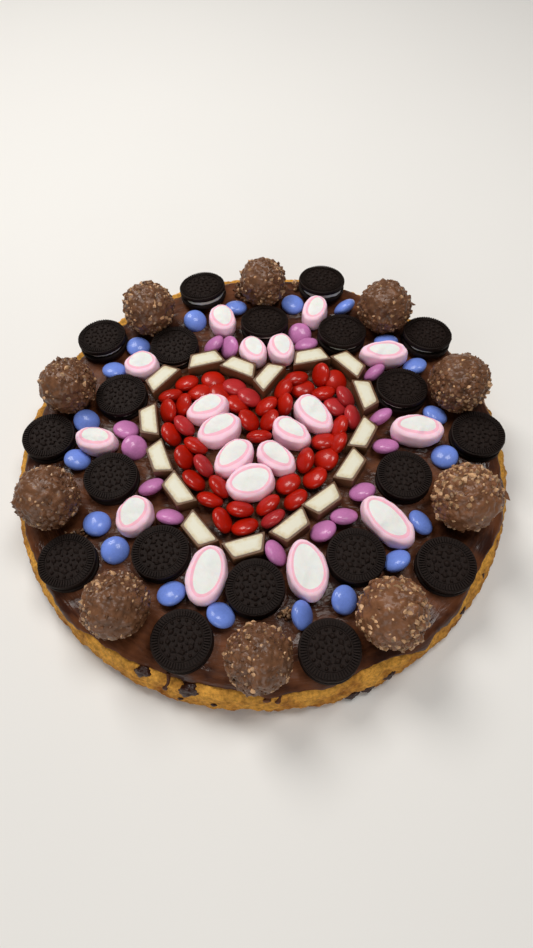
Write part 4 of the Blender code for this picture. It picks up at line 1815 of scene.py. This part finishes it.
class COOKIE_OT_stage(bpy.types.Operator):
    """Adds the pale floor, the soft lights and the camera"""

    bl_idname = "cookie_pizza.stage"
    bl_label = "Stage"

    def execute(self, context):
        look = context.scene.cookie_stage
        deselect()
        bpy.ops.mesh.primitive_plane_add(size=FLOOR_WIDTH)
        floor = context.object
        floor.name = "floor"
        paint(floor, pale_floor(look))
        add_light("key", look.key_power, *KEY_LIGHT)
        add_light("top", TOP_SHARE * look.key_power, *TOP_LIGHT)
        add_light("fill", look.fill_power, *FILL_LIGHT)
        world = bpy.data.worlds.new("soft_room")
        world.use_nodes = True
        room = world.node_tree.nodes["Background"]
        room.inputs["Color"].default_value = (1, 1, 1, 1)
        room.inputs["Strength"].default_value = ROOM_LIGHT
        context.scene.world = world
        context.scene.view_settings.view_transform = "Standard"
        add_camera()
        return {"FINISHED"}


class COOKIE_PT_panel(bpy.types.Panel):
    """Buttons for each piece, with its sizes and colours"""

    bl_idname = "COOKIE_PT_panel"
    bl_label = "Cookie pizza"
    bl_space_type = "VIEW_3D"
    bl_region_type = "UI"
    bl_category = "Cookie pizza"

    def draw(self, context):
        for operator, group in PIECES:
            box = self.layout.box()
            box.operator(operator.bl_idname)
            settings = getattr(context.scene, group)
            for name in settings.__annotations__:
                box.prop(settings, name)


SETTINGS = {
    "cookie_crust": CrustSettings,
    "cookie_praline": PralineSettings,
    "cookie_biscuit": BiscuitSettings,
    "cookie_slice": SliceSettings,
    "cookie_marshmallow": MarshmallowSettings,
    "cookie_sweet": SweetSettings,
    "cookie_spread": SpreadSettings,
    "cookie_stage": StageSettings,
}
PIECES = (
    (COOKIE_OT_crust, "cookie_crust"),
    (COOKIE_OT_pralines, "cookie_praline"),
    (COOKIE_OT_biscuits, "cookie_biscuit"),
    (COOKIE_OT_slices, "cookie_slice"),
    (COOKIE_OT_marshmallows, "cookie_marshmallow"),
    (COOKIE_OT_sweets, "cookie_sweet"),
    (COOKIE_OT_spread, "cookie_spread"),
    (COOKIE_OT_crumbs, "cookie_praline"),
    (COOKIE_OT_stage, "cookie_stage"),
)


def register():
    """Registers the settings, the operators and the panel."""
    for name, group in SETTINGS.items():
        bpy.utils.register_class(group)
        setattr(bpy.types.Scene, name, bpy.props.PointerProperty(type=group))
    for operator, _ in PIECES:
        bpy.utils.register_class(operator)
    bpy.utils.register_class(COOKIE_PT_panel)


def unregister():
    """Takes them out again."""
    bpy.utils.unregister_class(COOKIE_PT_panel)
    for operator, _ in PIECES:
        bpy.utils.unregister_class(operator)
    for name, group in SETTINGS.items():
        delattr(bpy.types.Scene, name)
        bpy.utils.unregister_class(group)


def main():
    """Makes every piece and the stage."""
    register()
    bpy.ops.cookie_pizza.crust()
    bpy.ops.cookie_pizza.pralines()
    bpy.ops.cookie_pizza.biscuits()
    bpy.ops.cookie_pizza.slices()
    bpy.ops.cookie_pizza.marshmallows()
    bpy.ops.cookie_pizza.sweets()
    bpy.ops.cookie_pizza.spread()
    bpy.ops.cookie_pizza.crumbs()
    bpy.ops.cookie_pizza.stage()


if __name__ == "__main__":
    main()
